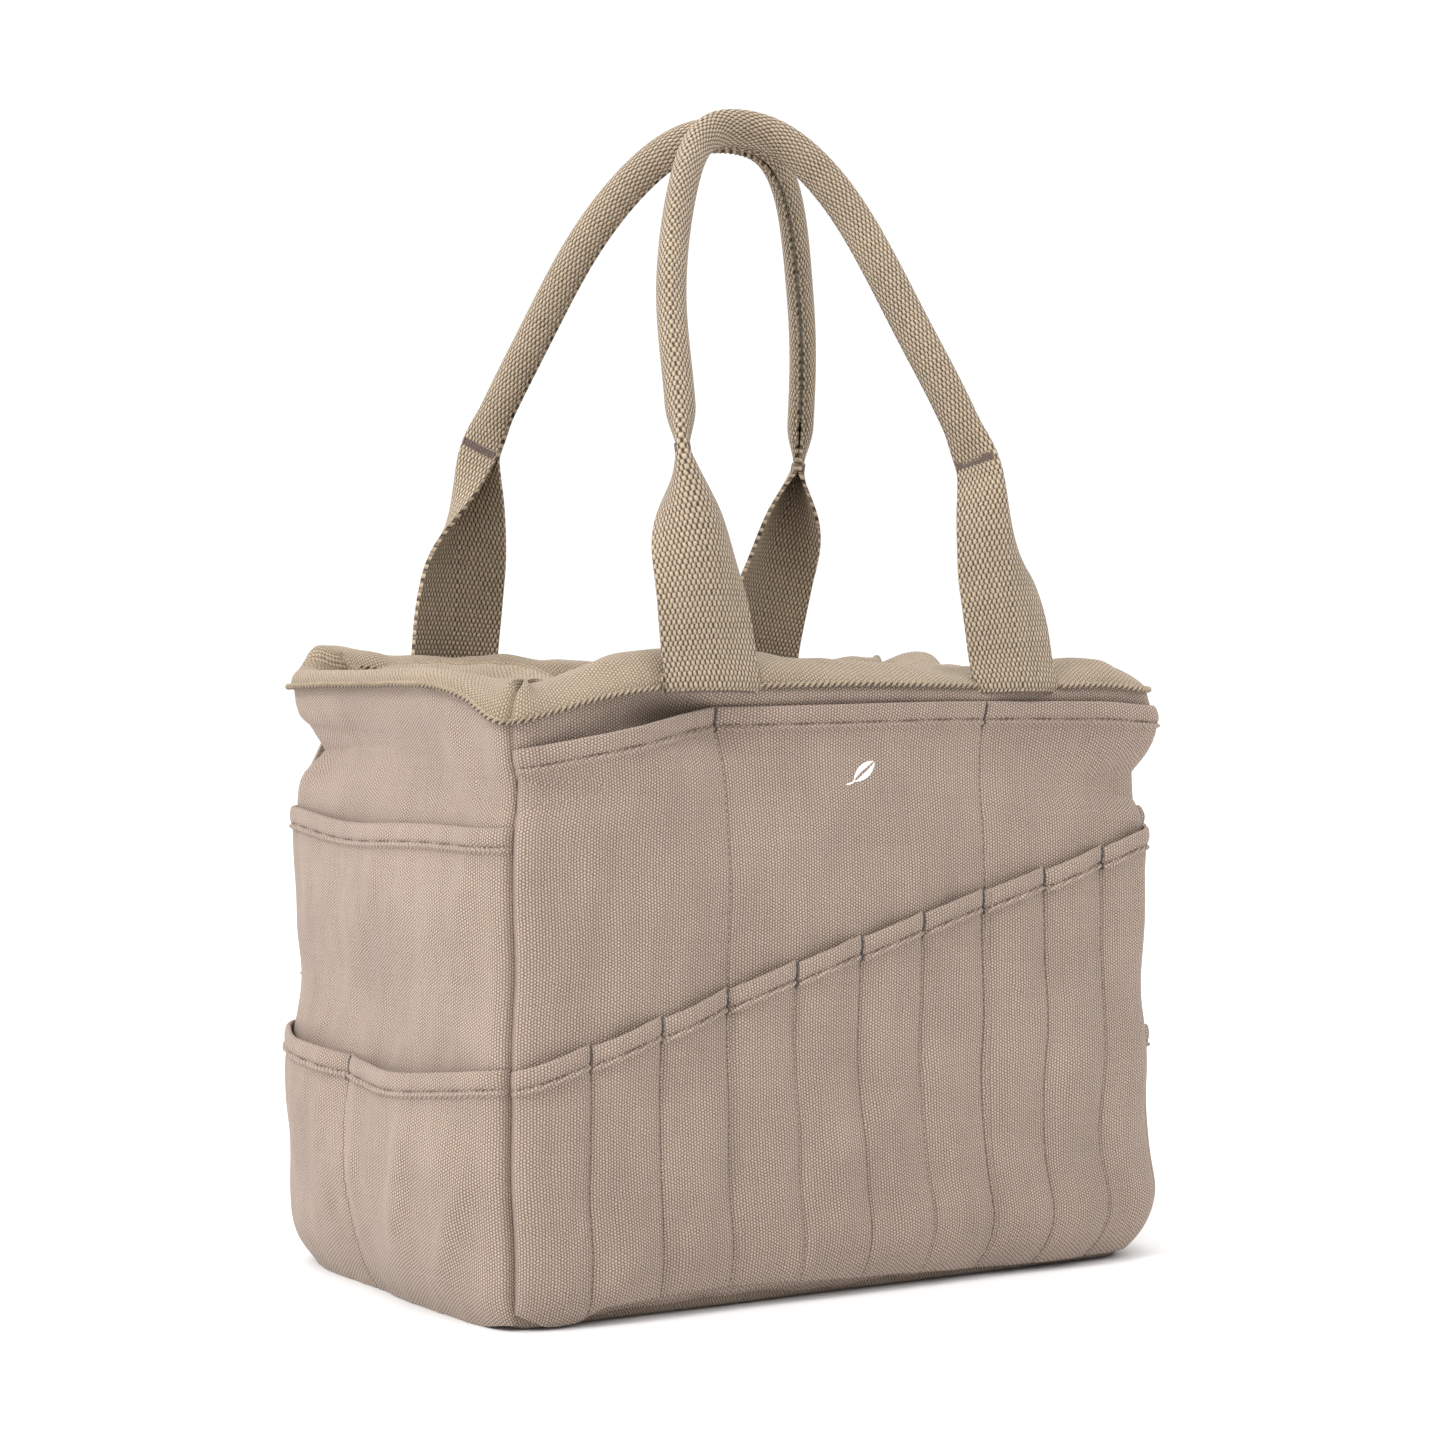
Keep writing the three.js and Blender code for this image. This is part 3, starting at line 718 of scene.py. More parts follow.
def woven(name, dark, light, pitch, relief, contrast=(0.2, 0.8), slub=0.5, ribs="across", rib_share=0.38,
          twill=0.0):
    """Woven cloth: raised yarns in staggered rows, uneven yarns, and a slight mottle. pitch is the pattern's
    full repeat in millimetres, across and along the cloth; ribs says which way its rows of knuckles stand
    out, and rib_share how much. dark and light are colours as they look on screen, 0 to 255."""
    material = bpy.data.materials.new(name)
    material.use_nodes = True
    shader = material.node_tree.nodes["Principled BSDF"].inputs
    m = Nodes(material.node_tree)
    uv = m.node("ShaderNodeUVMap", uv_map="cloth").outputs["UV"]
    u, v, _ = m.split(uv)
    shift = m.math("MULTIPLY_ADD", m.noise(uv, 260.0, 1.0), 0.0011, -0.00055)
    u = m.math("ADD", u, shift)
    v = m.math("ADD", v, m.math("MULTIPLY", shift, 0.8))
    if twill:
        u = m.math("ADD", u, m.math("MULTIPLY", v, twill))
    wave_u = m.math("COSINE", m.math("MULTIPLY", u, TAU / (pitch[0] * MM)))
    wave_v = m.math("COSINE", m.math("MULTIPLY", v, TAU / (pitch[1] * MM)))
    rib_of, rib_pitch = (v, pitch[1]) if ribs == "across" else (u, pitch[0])
    rib = m.math("COSINE", m.math("MULTIPLY", rib_of, 2 * TAU / (rib_pitch * MM)))
    rib = m.math("MULTIPLY", rib, rib_share)
    yarn = wave_u if twill else m.math("MULTIPLY_ADD", m.math("MULTIPLY", wave_u, wave_v), 1 - rib_share, rib)
    height = m.math("MULTIPLY_ADD", yarn, 0.5, 0.5)
    streak_u = m.stretched_noise(uv, (1 / (pitch[0] * MM), 18.0, 1.0), 1.0)
    streak_v = m.stretched_noise(uv, (18.0, 1 / (pitch[1] * MM), 1.0), 1.0)
    grain = m.noise(uv, 1500.0, 2.0, 0.6)
    tone = m.math("MULTIPLY_ADD", m.math("ADD", streak_u, streak_v), 0.5 * slub, height)
    tone = m.math("MULTIPLY_ADD", grain, 0.35, tone)
    lift = 0.5 * slub + 0.175
    share = m.remap(tone, contrast[0] + lift, contrast[1] + lift)
    shade = m.node("ShaderNodeHueSaturation")
    m.put(m.mix(share, colour(*dark), colour(*light)), shade.inputs["Color"])
    m.put(m.remap(m.noise(uv, 22.0, 3.0), 0.25, 0.75, 0.94, 1.06), shade.inputs["Value"])
    bump = m.node("ShaderNodeBump")
    for key, value in (("Strength", 1.0), ("Distance", relief * MM),
                       ("Height", m.math("MULTIPLY_ADD", grain, 0.3, height))):
        m.put(value, bump.inputs[key])
    for key, value in (("Base Color", shade.outputs["Color"]), ("Normal", bump.outputs["Normal"]),
                       ("Roughness", m.remap(share, 0, 1, 0.92, 0.8)), ("Sheen Weight", 0.12),
                       ("Sheen Roughness", 0.5), ("Specular IOR Level", 0.2)):
        m.put(value, shader[key])
    return material


def make_materials():
    """Every cloth and thread, by its look's name."""
    looks = {
        "canvas": woven("canvas", (89, 75, 64), (185, 165, 151), (2.9, 1.46), 0.35, (0.12, 0.78), 0.12,
                        ribs="along"),
        "lining": woven("lining", (100, 84, 72), (164, 146, 131), (2.9, 1.46), 0.2, slub=0.12, ribs="along"),
        "webbing": woven("webbing", (46, 36, 27), (184, 165, 141), (2.3, 4.9), 0.8, (0.16, 0.66), 0.15,
                         rib_share=0.22),
        "collar": woven("collar", (86, 72, 57), (172, 155, 133), (2.0, 3.0), 0.4, (0.08, 0.75), 0.15),
        "rope": woven("rope", (112, 96, 78), (192, 175, 151), (1.1, 1.1), 0.1),
        "base": woven("base_canvas", (98, 83, 71), (154, 136, 121), (1.5, 1.5), 0.25, twill=0.8),
        # the thread's dark colour is partly its own and partly painted shade of the needle holes beside each
        # stitch
        "thread": woven("thread", (66, 54, 50), (104, 90, 84), (0.5, 0.5), 0.05, slub=0.9),
        "tack": woven("tack_thread", (52, 47, 46), (84, 77, 75), (0.5, 0.5), 0.05, slub=0.9),
        "board": woven("board", (48, 45, 42), (64, 60, 56), (2.0, 2.0), 0.05),
        "cord": woven("cord", (190, 180, 160), (226, 218, 200), (2.4, 2.4), 0.3),
        "white": woven("embroidery", (214, 212, 206), (246, 244, 240), (0.6, 3.0), 0.12, (0, 1)),
    }
    looks["tape"] = looks["collar"]
    return looks


MATERIALS = make_materials()


# ---- building: body ----
def add_panel(side, name):
    half = half_of(side)
    obj = cloth_sheet(name, half, [], lambda s: PANEL_FOOT + 0 * s, lambda s: rim_height(side, s),
                      lambda s, z, depth: surface(side, s, z, -depth), False, PANEL_THICKNESS, step=4.0)
    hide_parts(name)


def add_pocket(pocket):
    half = pocket.half
    obj = cloth_sheet(pocket.name, half, pocket.seams, pocket.foot_line, pocket.mouth, pocket.point, True,
                      CLOTH, step=2.8)
    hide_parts(pocket.name, pocket.name + "_binding")
    s = np.linspace(-half, half, 50)
    heights = pocket.mouth(s) - pocket.foot_line(s)
    hem_stitches(pocket)


def add_seams():
    """The dividing seams, each from just above the pocket's foot, or from the mouth of the pocket over it."""
    starts = (
        (front_slant, lambda s: slant_foot(s) + 3),
        (front_tall, lambda s: front_slant.mouth(s) + 2),
        (back_tall, lambda s: back_low.mouth(s) + 2),
        (back_low, lambda s: 0 * s + 12),
        (left_low, lambda s: 0 * s + 8),
        (right_low, lambda s: 0 * s + 8),
    )
    for pocket, start in starts:
        for i, s in enumerate(pocket.seams, 1):
            number = f"_{i}" if len(pocket.seams) > 1 else ""
            seam_stitches(f"{pocket.name}_seam{number}", pocket, s, float(start(np.array([s]))[0]))


def add_leaf():
    """A small plain leaf embroidered in white satin stitch on the middle of the tall front pocket."""
    places, directions, lengths = [], [], []
    lengthways = np.array([math.cos(LEAF_TILT), math.sin(LEAF_TILT)])
    sideways = np.array([-math.sin(LEAF_TILT), math.cos(LEAF_TILT)])
    for t in np.arange(-0.5, 0.5, 0.62 / LEAF_LENGTH):
        width = LEAF_WIDTH * (1 - (2 * t) ** 2) ** 0.8 * (1 - 0.35 * t)
        for half in (-1, 1):
            places.append(lengthways * (t * LEAF_LENGTH + 0.9) + sideways * half * (width / 4 + 0.35))
            directions.append(sideways * half + lengthways * 0.75)
            lengths.append(max(width / 2 * 1.15, 0.7))
    for t in range(6):
        places.append(lengthways * (0.5 - 0.5 * LEAF_LENGTH - t * 0.8) + sideways * 0.06 * t * t)
        directions.append(lengthways)
        lengths.append(1.5)
    s, z = (np.array(places) + LEAF_PLACE).T
    step_s, step_z = 0.5 * unit(np.array(directions)).T
    along = front_tall.point(s + step_s, z + step_z) - front_tall.point(s - step_s, z - step_z)
    normals = normal_of(front_tall.point, s, z)
    centres = front_tall.point(s, z) + normals * 0.15
    stitch_object("front_leaf_embroidery", centres, along, normals, lengths, 0.8, "white")


# ---- building: base and inside ----
def base_ring(inset, z, count_side=40, count_corner=10):
    """A closed loop round the base at a height, with the same rounded and drawn-in corners as the walls."""
    half_x, half_y = BASE_X - inset, BASE_Y - inset
    points = []
    for quarter, corner in enumerate(("back_right", "back_left", "front_left", "front_right")):
        sx, sy = (1, -1, -1, 1)[quarter], (1, 1, -1, -1)[quarter]
        radius = max(corner_round(corner, z) - 6 - inset, 2.0)
        for k in range(count_corner + 1):
            angle = (quarter + k / count_corner) * math.pi / 2
            points.append((sx * (half_x - radius) + radius * math.cos(angle),
                           sy * (half_y - radius) + radius * math.sin(angle)))
    path = closed(np.array(points))
    lengths = run_along(path)
    places = np.linspace(0, lengths[-1], 4 * count_side, endpoint=False)
    ring = resample(places, lengths, path)
    return ring * base_pull(ring, z), places, lengths[-1]


def base_pull(ring, z):
    """How much the base is drawn in at each point to follow the corners, by shares of its half length and
    half depth."""
    right, back = 0.5 + 0.5 * ring[:, 0] / CORNER_X, 0.5 + 0.5 * ring[:, 1] / CORNER_Y
    pull = np.zeros(len(ring))
    for corner, weight in (("front_left", (1 - right) * (1 - back)), ("front_right", right * (1 - back)),
                           ("back_right", right * back), ("back_left", (1 - right) * back)):
        pull = pull + np.clip(weight, 0, 1) * PINCH[corner][3] * math.exp(-z / 13)
    return np.column_stack([1 - pull / CORNER_X, 1 - 0.7 * pull / CORNER_Y])


def add_base():
    """The base panel: a canvas tray with a soft lower edge, its lip just behind the pockets' feet."""
    inside = [(60, 2.0), (9, 2.2), (3.4, 2.6), (1.8, 4.6), (1.7, 9.0)]  # inset and height
    outside = [(0.4, 9.6), (0.0, 8.8), (0.1, 4.6), (0.9, 1.9), (3.2, 0.4), (9, 0.0), (60, 0.0)]
    profile = np.array(inside + outside)
    rows, uv = [], []
    for (inset, z), travelled in zip(profile, run_along(profile)):
        ring, places, total = base_ring(inset, min(z, 5.0))
        wave = 0.8 * waves(61, ring[:, 0], ring[:, 1], 90, 2) * (1 if 1 < z < 9.5 and inset < 9 else 0)
        rows.append(np.column_stack([ring + unit(ring) * wave[:, None], np.full(len(ring), z)]))
        uv.append(np.column_stack([np.append(places, total), np.full(len(places) + 1, travelled)]))
    points = np.array(rows)
    shell = grid_object("base_panel", points, np.array(uv), "base", loop_cols=True)
    close_rings(shell, points.shape[1], points.shape[0])
    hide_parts("base_panel")


def close_rings(obj, cols, rows):
    """Fills a tray's floor: the flat rings left open in its middle, above and below."""
    bm = bmesh.new()
    bm.from_mesh(obj.data)
    bm.verts.ensure_lookup_table()
    layer = bm.loops.layers.uv.active
    for start, upward in ((0, True), ((rows - 1) * cols, False)):
        face = bm.faces.new([bm.verts[start + i] for i in range(cols)])
        face.normal_update()
        if (face.normal.z > 0) != upward:
            face.normal_flip()
        for loop in face.loops:
            loop[layer].uv = (loop.vert.co.x, loop.vert.co.y)
    bm.to_mesh(obj.data)
    bm.free()


def flat_layer(name, inset, low, high, ripple, look):
    """A flat piece lying in the base, shaped to its outline: rings from its middle out and back below."""
    outline = base_ring(inset, 5.0)[0]
    shares = np.linspace(0.01, 1, 24)
    rows, uv = [], []
    for share, level in [(k, high) for k in shares] + [(k, low) for k in shares[::-1]]:
        xy = outline * share
        rows.append(np.column_stack([xy, level + ripple * waves(71, xy[:, 0], xy[:, 1], 80, 2)]))
        uv.append(closed(xy))
    obj = grid_object(name, np.array(rows), closed(np.array(uv)), look, loop_rows=True, loop_cols=True)
    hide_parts(name)
    return obj


def add_floor():
    """The stiff board in the base, and the loose canvas over it, seen through the mouth."""
    flat_layer("base_board", 5.0, *BOARD, 0.0, "board")
    cover = flat_layer("base_cover", 5.5, *COVER, 0.5, "lining")


def add_tapes():
    """The tape that binds each upright seam inside: a thin strip, raised along its middle."""
    top = [(-5, 0.5), (-2.5, 0.75), (0, 0.8), (2.5, 0.75), (5, 0.5)]
    section = top + [(5, -0.5), (2.5, -0.3), (0, -0.2), (-2.5, -0.3), (-5, -0.5)]
    z = np.linspace(9.5, 270, 70)
    ripple = 0.5 * np.sin(z / 9)[:, None]
    uv = uv_grid(closed([a for a, _ in section]), z)
    for corner in PINCH:
        face, end = corner.split("_")
        (plain_x, plain_y), (own_x, own_y) = corner_plain(corner, z), corner_own(corner, z)
        inset = 4.4 + (corner_round(corner, z) - CORNER_ROUND) * (1 - HALF_ROOT)
        sx, sy = (1 if end == "right" else -1), (1 if face == "back" else -1)
        middle = np.column_stack([(plain_x + own_x - inset) * sx, (plain_y + own_y - inset) * sy, z])
        across = np.array([sx, -sy, 0]) * HALF_ROOT
        inward = np.array([-sx, -sy, 0]) * HALF_ROOT
        points = np.stack([middle + across * a + inward * (b + ripple) for a, b in section], axis=1)
        name = f"{corner}_seam_tape"
        obj = grid_object(name, points, uv, "tape", loop_cols=True, capped=True)
        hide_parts(name)


# ---- building: collar ----
# How high the collar's fold stands above its stitched edge, and how far its free edge drops from there: a
# level for each side, and humps along it. The back's corners stand up as ears.
CREST = {
    "front": (8.5, [(8, -98, 32), (7, -45, 30), (5, 146, 24), (6, -CORNER_X, 22)]),
    "right": (11.0, [(14, CORNER_Y - 32, 21)]),
    "back": (15.5, [(9, CORNER_X - 13, 22), (3, -CORNER_X, 26), (-2, 0, 40)]),
    "left": (5.0, [(11, CORNER_Y, 27), (12, -CORNER_Y, 15)]),
}
DROP = {
    "front": (6.0, [(-2, -90, 40)]),
    "right": (6.0, [(5, CORNER_Y - 32, 27)]),
    "back": (9.0, [(5, CORNER_X, 26), (4, -CORNER_X, 26)]),
    "left": (3.0, [(10, -CORNER_Y, 20)]),
}


def circular_blur(values, width):
    """Averages a closed run of values, or of points, over a window of neighbours."""
    if values.ndim > 1:
        return np.stack([circular_blur(column, width) for column in values.T], axis=1)
    return np.convolve(np.concatenate([values[-width:], values, values[:width]]), hann(width), mode="valid")


def rim_path(step=2.0):
    """Points round the mouth at the collar's lower edge: place, outward direction, side and place along it.
    The front right corner is blunter than the canvas under it."""
    places, outs, sides, along = [], [], [], []
    for side in SIDE_TURNS:
        half = half_of(side)
        s = np.linspace(-half, half, int(2 * half / step) + 1)[:-1]
        z = rim_height(side, s)
        outer, inner = (surface(side, s, z, offset) for offset in (1.3, 0.3))
        places.append(outer)
        outs.append(unit(outer - inner))
        sides += [side] * len(s)
        along.append(s)
    places, outs, along = (np.concatenate(values) for values in (places, outs, along))
    sides = np.array(sides)
    beside = {"front": CORNER_X - along, "right": along + CORNER_Y}
    to_corner = np.full(len(along), 1000.0)
    for side, distance in beside.items():
        to_corner[sides == side] = distance[sides == side]
    near = hump(to_corner, 0, 18)[:, None]
    return places * (1 - near) + circular_blur(places, 7) * near, outs, sides, along


def collar_form(sides, along):
    """The crest's height and the free edge's drop round the mouth, and how much the band is folded flat with
    its free edge turned up again."""
    crest, drop = np.zeros(len(along)), np.zeros(len(along))
    for side in SIDE_TURNS:
        here = sides == side
        crest[here] = humps(along[here], *CREST[side])
        drop[here] = humps(along[here], *DROP[side])
    flat = np.where(sides == "left", 1 - hump(along, CORNER_Y, 45), 0.0)
    return (circular_blur(values, 5) for values in (crest, drop, flat))


def strap_cover(sides, along):
    """1 where a strap covers the collar's edge, falling to 0 beside it."""
    cover = np.zeros(len(along))
    for side, form in HANDLES.items():
        for foot in form["feet"]:
            cover = np.maximum(cover, (sides == side) * (1 - smooth(np.abs(along - foot), 22.0, 25.5)))
    return cover


def collar_slopes(v, crest, drop, flat):
    """The band's slope at each place across it and round the mouth, up to its crest and down past it."""
    rise, fall = crest / COLLAR_FOLD, drop / (COLLAR_WIDTH - COLLAR_FOLD)
    up, down = 2 * rise * (1 + rise**2 / 2.6), 2 * fall * (1 + fall**2 / 3)
    mid = ((v[1:] + v[:-1]) / 2)[:, None]
    past = mid - COLLAR_FOLD
    angle = np.where(past < 0, up * (1 - mid / COLLAR_FOLD), -down * past / (COLLAR_WIDTH - COLLAR_FOLD))
    low_fold = humps(mid, 0.0, [(1.15, 3, 5), (-0.6, 20, 9), (0.95, 42, 8)])
    return np.clip(angle * (1 - 0.8 * flat) + low_fold * flat, -1.2, 1.5)


def add_collar():
    rim, out, sides, along = rim_path()
    crest, drop, flat = collar_form(sides, along)
    out = circular_blur(out, 12)
    out[:, 2] = 0
    out = unit(out)
    lengths = run_along(closed(rim))
    corner_gap = np.where((sides == "front") | (sides == "back"), CORNER_X, CORNER_Y) - np.abs(along)
    front_left = ((sides == "front") & (along < 0)) | ((sides == "left") & (along > 0))
    v = np.linspace(0, COLLAR_WIDTH, 41)
    angle = collar_slopes(v, crest, drop, flat)
    start = np.zeros((1, len(rim)))
    rise = np.concatenate([start, np.cumsum(np.sin(angle), axis=0) * (v[1] - v[0])])
    inset = np.concatenate([start, np.cumsum(np.cos(angle), axis=0) * (v[1] - v[0])])
    share = (v / COLLAR_WIDTH)[:, None]
    around = lengths[:-1][None, :]
    billow = waves(83, around, v[:, None] * 1.5, 75, 3) * 1.7
    rise = rise + billow * smooth(share, 0.0, 0.4) * (1 - 0.6 * flat)
    rise = rise + waves(84, around, v[:, None] * 0.7, 26, 2) * 0.5 * smooth(share, 0.05, 0.4)
    nose = np.where(front_left, 1.0, 0.6)
    rise = rise - nose * 3.4 * hump(corner_gap, 0, 3.0) * smooth(share, 0.28, 0.5)
    rise = rise + nose * 2.4 * hump(corner_gap, 6.5, 3.6) * smooth(share, 0.2, 0.42)
    middle = rim[None] - out[None] * inset[..., None]
    middle[..., 2] = rim[None, :, 2] + rise
    lengthwise = np.roll(middle, -1, axis=1) - np.roll(middle, 1, axis=1)
    normal = unit(np.cross(np.gradient(middle, axis=0), lengthwise))
    normal *= np.sign((normal * (out[None] + np.array([0, 0, 1.0]))).sum(2).mean())
    half = normal * COLLAR_HALF_THICKNESS
    points = np.concatenate([middle + half, (middle - half)[::-1]], axis=0)
    uv = uv_grid(lengths, closed(np.concatenate([v, v[::-1]])))[..., ::-1]
    obj = grid_object("rim_collar", points, uv, "collar", loop_rows=True, loop_cols=True)
    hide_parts("rim_collar")
    under = strap_cover(sides, along)[:, None]
    add_rope("rim_collar_selvage", middle[0] + out * (1.5 - 4.0 * under), out)
    add_rope("rim_collar_free_edge", middle[-1], out)


def add_rope(name, path, out):
    """A selvage that reads as a thin rope: two strands twisted round each other over a dark cord, which is
    painted shade between the strands and a painted shadow line under the rope.
    """
    lengths = run_along(closed(path))
    total = lengths[-1]
    places = np.linspace(0, total, int(total / 0.6), endpoint=False)
    path, out = (resample(places, lengths, closed(values)) for values in (path, out))
    up = np.array([0, 0, 1.0])
    sides = 6
    uv = uv_grid(np.arange(sides + 1) * 0.75, np.append(places, total))
    # the third strand, in dark thread, is no real cord: it is painted shade between the strands and a painted
    # shadow line below the rope
    for strand, look in enumerate(("rope", "rope", "thread"), 1):
        twist = TAU * round(total / ROPE_TURN) * places / total + strand * math.pi
        spread, drop = (ROPE_SPREAD, 0.0) if look == "rope" else (0.0, ROPE_SHADOW)
        centre = path + out * (spread * np.cos(twist))[:, None]
        centre = centre + up * (spread * np.sin(twist) - drop)[:, None]
        rings = [centre + out * ROPE_RADIUS * math.cos(k) + up * ROPE_RADIUS * math.sin(k)
                 for k in TAU * np.arange(sides) / sides]
        grid_object(f"{name}_{strand}", np.stack(rings, axis=1), uv, look, loop_rows=True, loop_cols=True)


# ---- building: handles ----
def handle_path(x, z):
    """Leans from the foot, outside the collar, to where the two handles meet over the mouth."""
    rise = np.clip((z - LEAN_FROM) / (APEX_Z - LEAN_FROM), 0, None)
    y = (ROOT_Y - APEX_Y) * rise**LEAN_POWER - ROOT_Y - FOOT_FLARE * hump(z, ROOT_Z, 10)
    return np.stack([x, y, z], axis=-1)


def handle_outline(form, strap_count=46, arch_count=131):
    """Evenly spaced places (x, z) from the left foot to the right foot, their distances along, and those of
    the two pinches."""
    share = np.linspace(0, 1, strap_count)[:-1]
    strap_z = ROOT_Z + (form["pinch_z"] - ROOT_Z) * share
    feet, pinches = form["feet"], form["pinches"]
    left, right = (feet[i] + (pinches[i] - feet[i]) * smooth(share, 0, 0.9) for i in (0, 1))
    middle, half = (pinches[0] + pinches[1]) / 2, (pinches[1] - pinches[0]) / 2
    xi = -np.cos(np.linspace(0, math.pi, arch_count))
    arch_z = form["pinch_z"] + (APEX_Z - form["pinch_z"]) * (1 - np.abs(xi) ** form["power"])
    sway = form["sway"][0] * hump(arch_z, 462, 42) + form["sway"][1] * smooth(arch_z, 490, 555)
    outline = np.column_stack([np.concatenate([left, middle + half * xi + sway, right[::-1]]),
                               np.concatenate([strap_z, arch_z, strap_z[::-1]])])
    lengths = run_along(outline)
    places = np.linspace(0, lengths[-1], round(lengths[-1] / STATION_STEP) + 1)
    x, z = resample(places, lengths, outline).T
    blur = 5
    x = np.convolve(np.pad(x, blur, mode="edge"), hann(blur), mode="valid")
    z = np.concatenate([z[:blur], np.convolve(z, hann(blur), mode="valid"), z[-blur:]])
    return x, z, places, (lengths[strap_count - 1], lengths[-strap_count])


def handle_stations(side):
    """Places along a handle from its left foot to its right foot, with how far each is past the pinch."""
    x, z, places, pinches = handle_outline(HANDLES[side])
    points = handle_path(x, z)
    tangent = unit(np.gradient(points, axis=0))
    slope = (handle_path(0 * z, z + 0.5) - handle_path(0 * z, z - 0.5))[:, 1]
    inward = unit(np.column_stack([0 * slope, np.ones(len(slope)), -slope]))
    into = unit(np.cross(inward, tangent))
    travelled = run_along(points)
    first, last = np.interp(pinches, places, travelled)
    past = np.minimum(travelled - first, last - travelled)
    turn = (SEAM_TURN * smooth(past, -62, 2))[:, None]
    outward = -inward * np.cos(turn) - into * np.sin(turn)
    across = unit(np.cross(outward, tangent))
    outward = np.cross(tangent, across)
    return {"point": points, "along": tangent, "outward": outward, "across": across, "past": past,
            "at": travelled}


def handle_section(shares, past):
    """The strap's section at each station, as (across, outward) of its outer and inner faces. Below the pinch
    the strap is folded lengthwise, less and less down to its flat foot. Above it the fold opens into an oval
    roll."""
    width = WEBBING + (ROLL_WEBBING - WEBBING) * smooth(past, -30, 14)[:, None]
    below = np.clip(-past / STRAP_FOLD, 0, 1)
    half_width = 1.3 + 23.0 * (1 - (1 - below) ** 2.6)
    crisp = 0.05 + 0.5 * below
    roundness = (1 - ROLL_OVAL) * smooth(past, 0, 24)
    t = np.linspace(0, 0.5, 161)
    crease = np.tanh(t[None] / crisp[:, None]) / np.tanh(0.5 / crisp[:, None])
    shape = (1 - roundness)[:, None] * math.pi / 2 * crease + roundness[:, None] * TAU * t[None]
    low, high = np.zeros(len(past)), np.full(len(past), 1.3)
    for _ in range(30):
        scale = (low + high) / 2
        reach = WEBBING * np.cos(shape * scale[:, None]).mean(axis=1) / 2
        low, high = np.where(reach > half_width, scale, low), np.where(reach > half_width, high, scale)
    angle = shape * scale[:, None]
    a = width * np.cumsum(np.cos(angle), axis=1) * (t[1] - t[0])
    o = -width * np.cumsum(np.sin(angle), axis=1) * (t[1] - t[0])
    centre = (o.min(axis=1, keepdims=True) + o.max(axis=1, keepdims=True)) / 2
    flat = smooth(past, -STRAP_FOLD, -60)[:, None]
    o = o - centre * flat - o.mean(axis=1, keepdims=True) * (1 - flat)
    faces = []
    for offset in (WEBBING_THICKNESS / 2, -WEBBING_THICKNESS / 2):
        half_a, half_o = a + offset * np.sin(angle), o + offset * np.cos(angle)
        places = np.abs(shares)
        face_a = np.array([np.interp(places, t, row) for row in half_a]) * np.sign(shares)
        face_o = np.array([np.interp(places, t, row) for row in half_o])
        faces.append((face_a, face_o))
    return faces


def add_handle(side):
    st = handle_stations(side)
    turned = side == "back"
    even = np.linspace(-1, 1, 41)
    shares = 0.5 * np.sign(even) * np.abs(even) ** 1.5
    sway = 0.45 * waves(7 + turned, st["at"][:, None], shares[None, :] * 60, 70, 2)
    sway = sway * smooth(-st["past"], 5, 40)[:, None]
    point, across, outward = (st[key][:, None] for key in ("point", "across", "outward"))
    outer, inner = (point + across * a[..., None] + outward * (o + sway)[..., None]
                    for a, o in handle_section(shares, st["past"]))
    flip = np.array([-1, -1, 1]) if turned else np.array([1, 1, 1])
    rings = np.concatenate([outer, inner[:, ::-1]], axis=1)
    middles = [middle_of(ring) for ring in (rings[0], rings[-1])]
    add_foot_shadow_stitches(side, middles, flip)
    rings, at = add_feet(rings, middles, st["at"])
    width = np.concatenate([shares, shares[::-1]]) * WEBBING
    obj = grid_object(f"{side}_handle_webbing", rings * flip, uv_grid(closed(width), at), "webbing", None,
                      loop_cols=True, capped=True)
    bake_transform(obj)
    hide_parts(f"{side}_handle_webbing")
    add_handle_core(side, st, flip)
    add_roll_stitches(side, st, outer, flip)
    add_pinch_bars(side, st, shares, outer, flip)


def middle_of(ring):
    """The middle line of a strap's section, given its outer face and then its inner face turned round."""
    half = len(ring) // 2
    return (ring[:half] + ring[half:][::-1]) / 2


def add_feet(rings, middles, at):
    """Adds the turned-under foot at both ends of a strap."""
    profile = np.array([(0, 0), (0.1, -0.9), (0.6, -1.9), (1.7, -2.5), (3.0, -2.2), (3.6, -1.0), (3.7, 1.5),
                        (3.7, 5.5)])  # inwards and up from the strap's end
    extra = run_along(profile)[1:]
    ends = []
    for middle in middles:
        new = []
        for (y, z), (along_y, along_z) in zip(profile[1:], unit(np.diff(profile, axis=0))):
            normal = np.array([0, along_z, -along_y]) * (WEBBING_THICKNESS / 2)
            centre = middle + np.array([0, y, z])
            new.append(np.concatenate([centre + normal, (centre - normal)[::-1]]))
        ends.append(np.array(new))
    return np.concatenate([ends[0][::-1], rings, ends[1]]), np.concatenate([-extra[::-1], at, at[-1] + extra])


def add_foot_shadow_stitches(side, middles, flip):
    """The dark stitches under each foot that hold the strap to the seam; set low and dark, they are also the
    painted shadow line under the strap's lower edge.
    """
    for number, middle in enumerate(middles, 1):
        middle = middle[np.argsort(middle[:, 0])]
        x = np.arange(middle[0, 0] + 1.2, middle[-1, 0] - 1, FOOT_SHADOW_STITCH_PITCH)
        # set below the foot's underside in dark thread, so that they read as the painted shadow under the
        # strap's edge
        centres = (resample(x, middle[:, 0], middle) + np.array([0, 0.1, -3.2])) * flip
        normals = np.broadcast_to(np.array([0, -1.0, 0]) * flip, centres.shape)
        along = np.gradient(centres, axis=0)
        stitch_object(f"{side}_handle_foot_stitches_{number}", centres, along, normals, 2.5, 1.3)


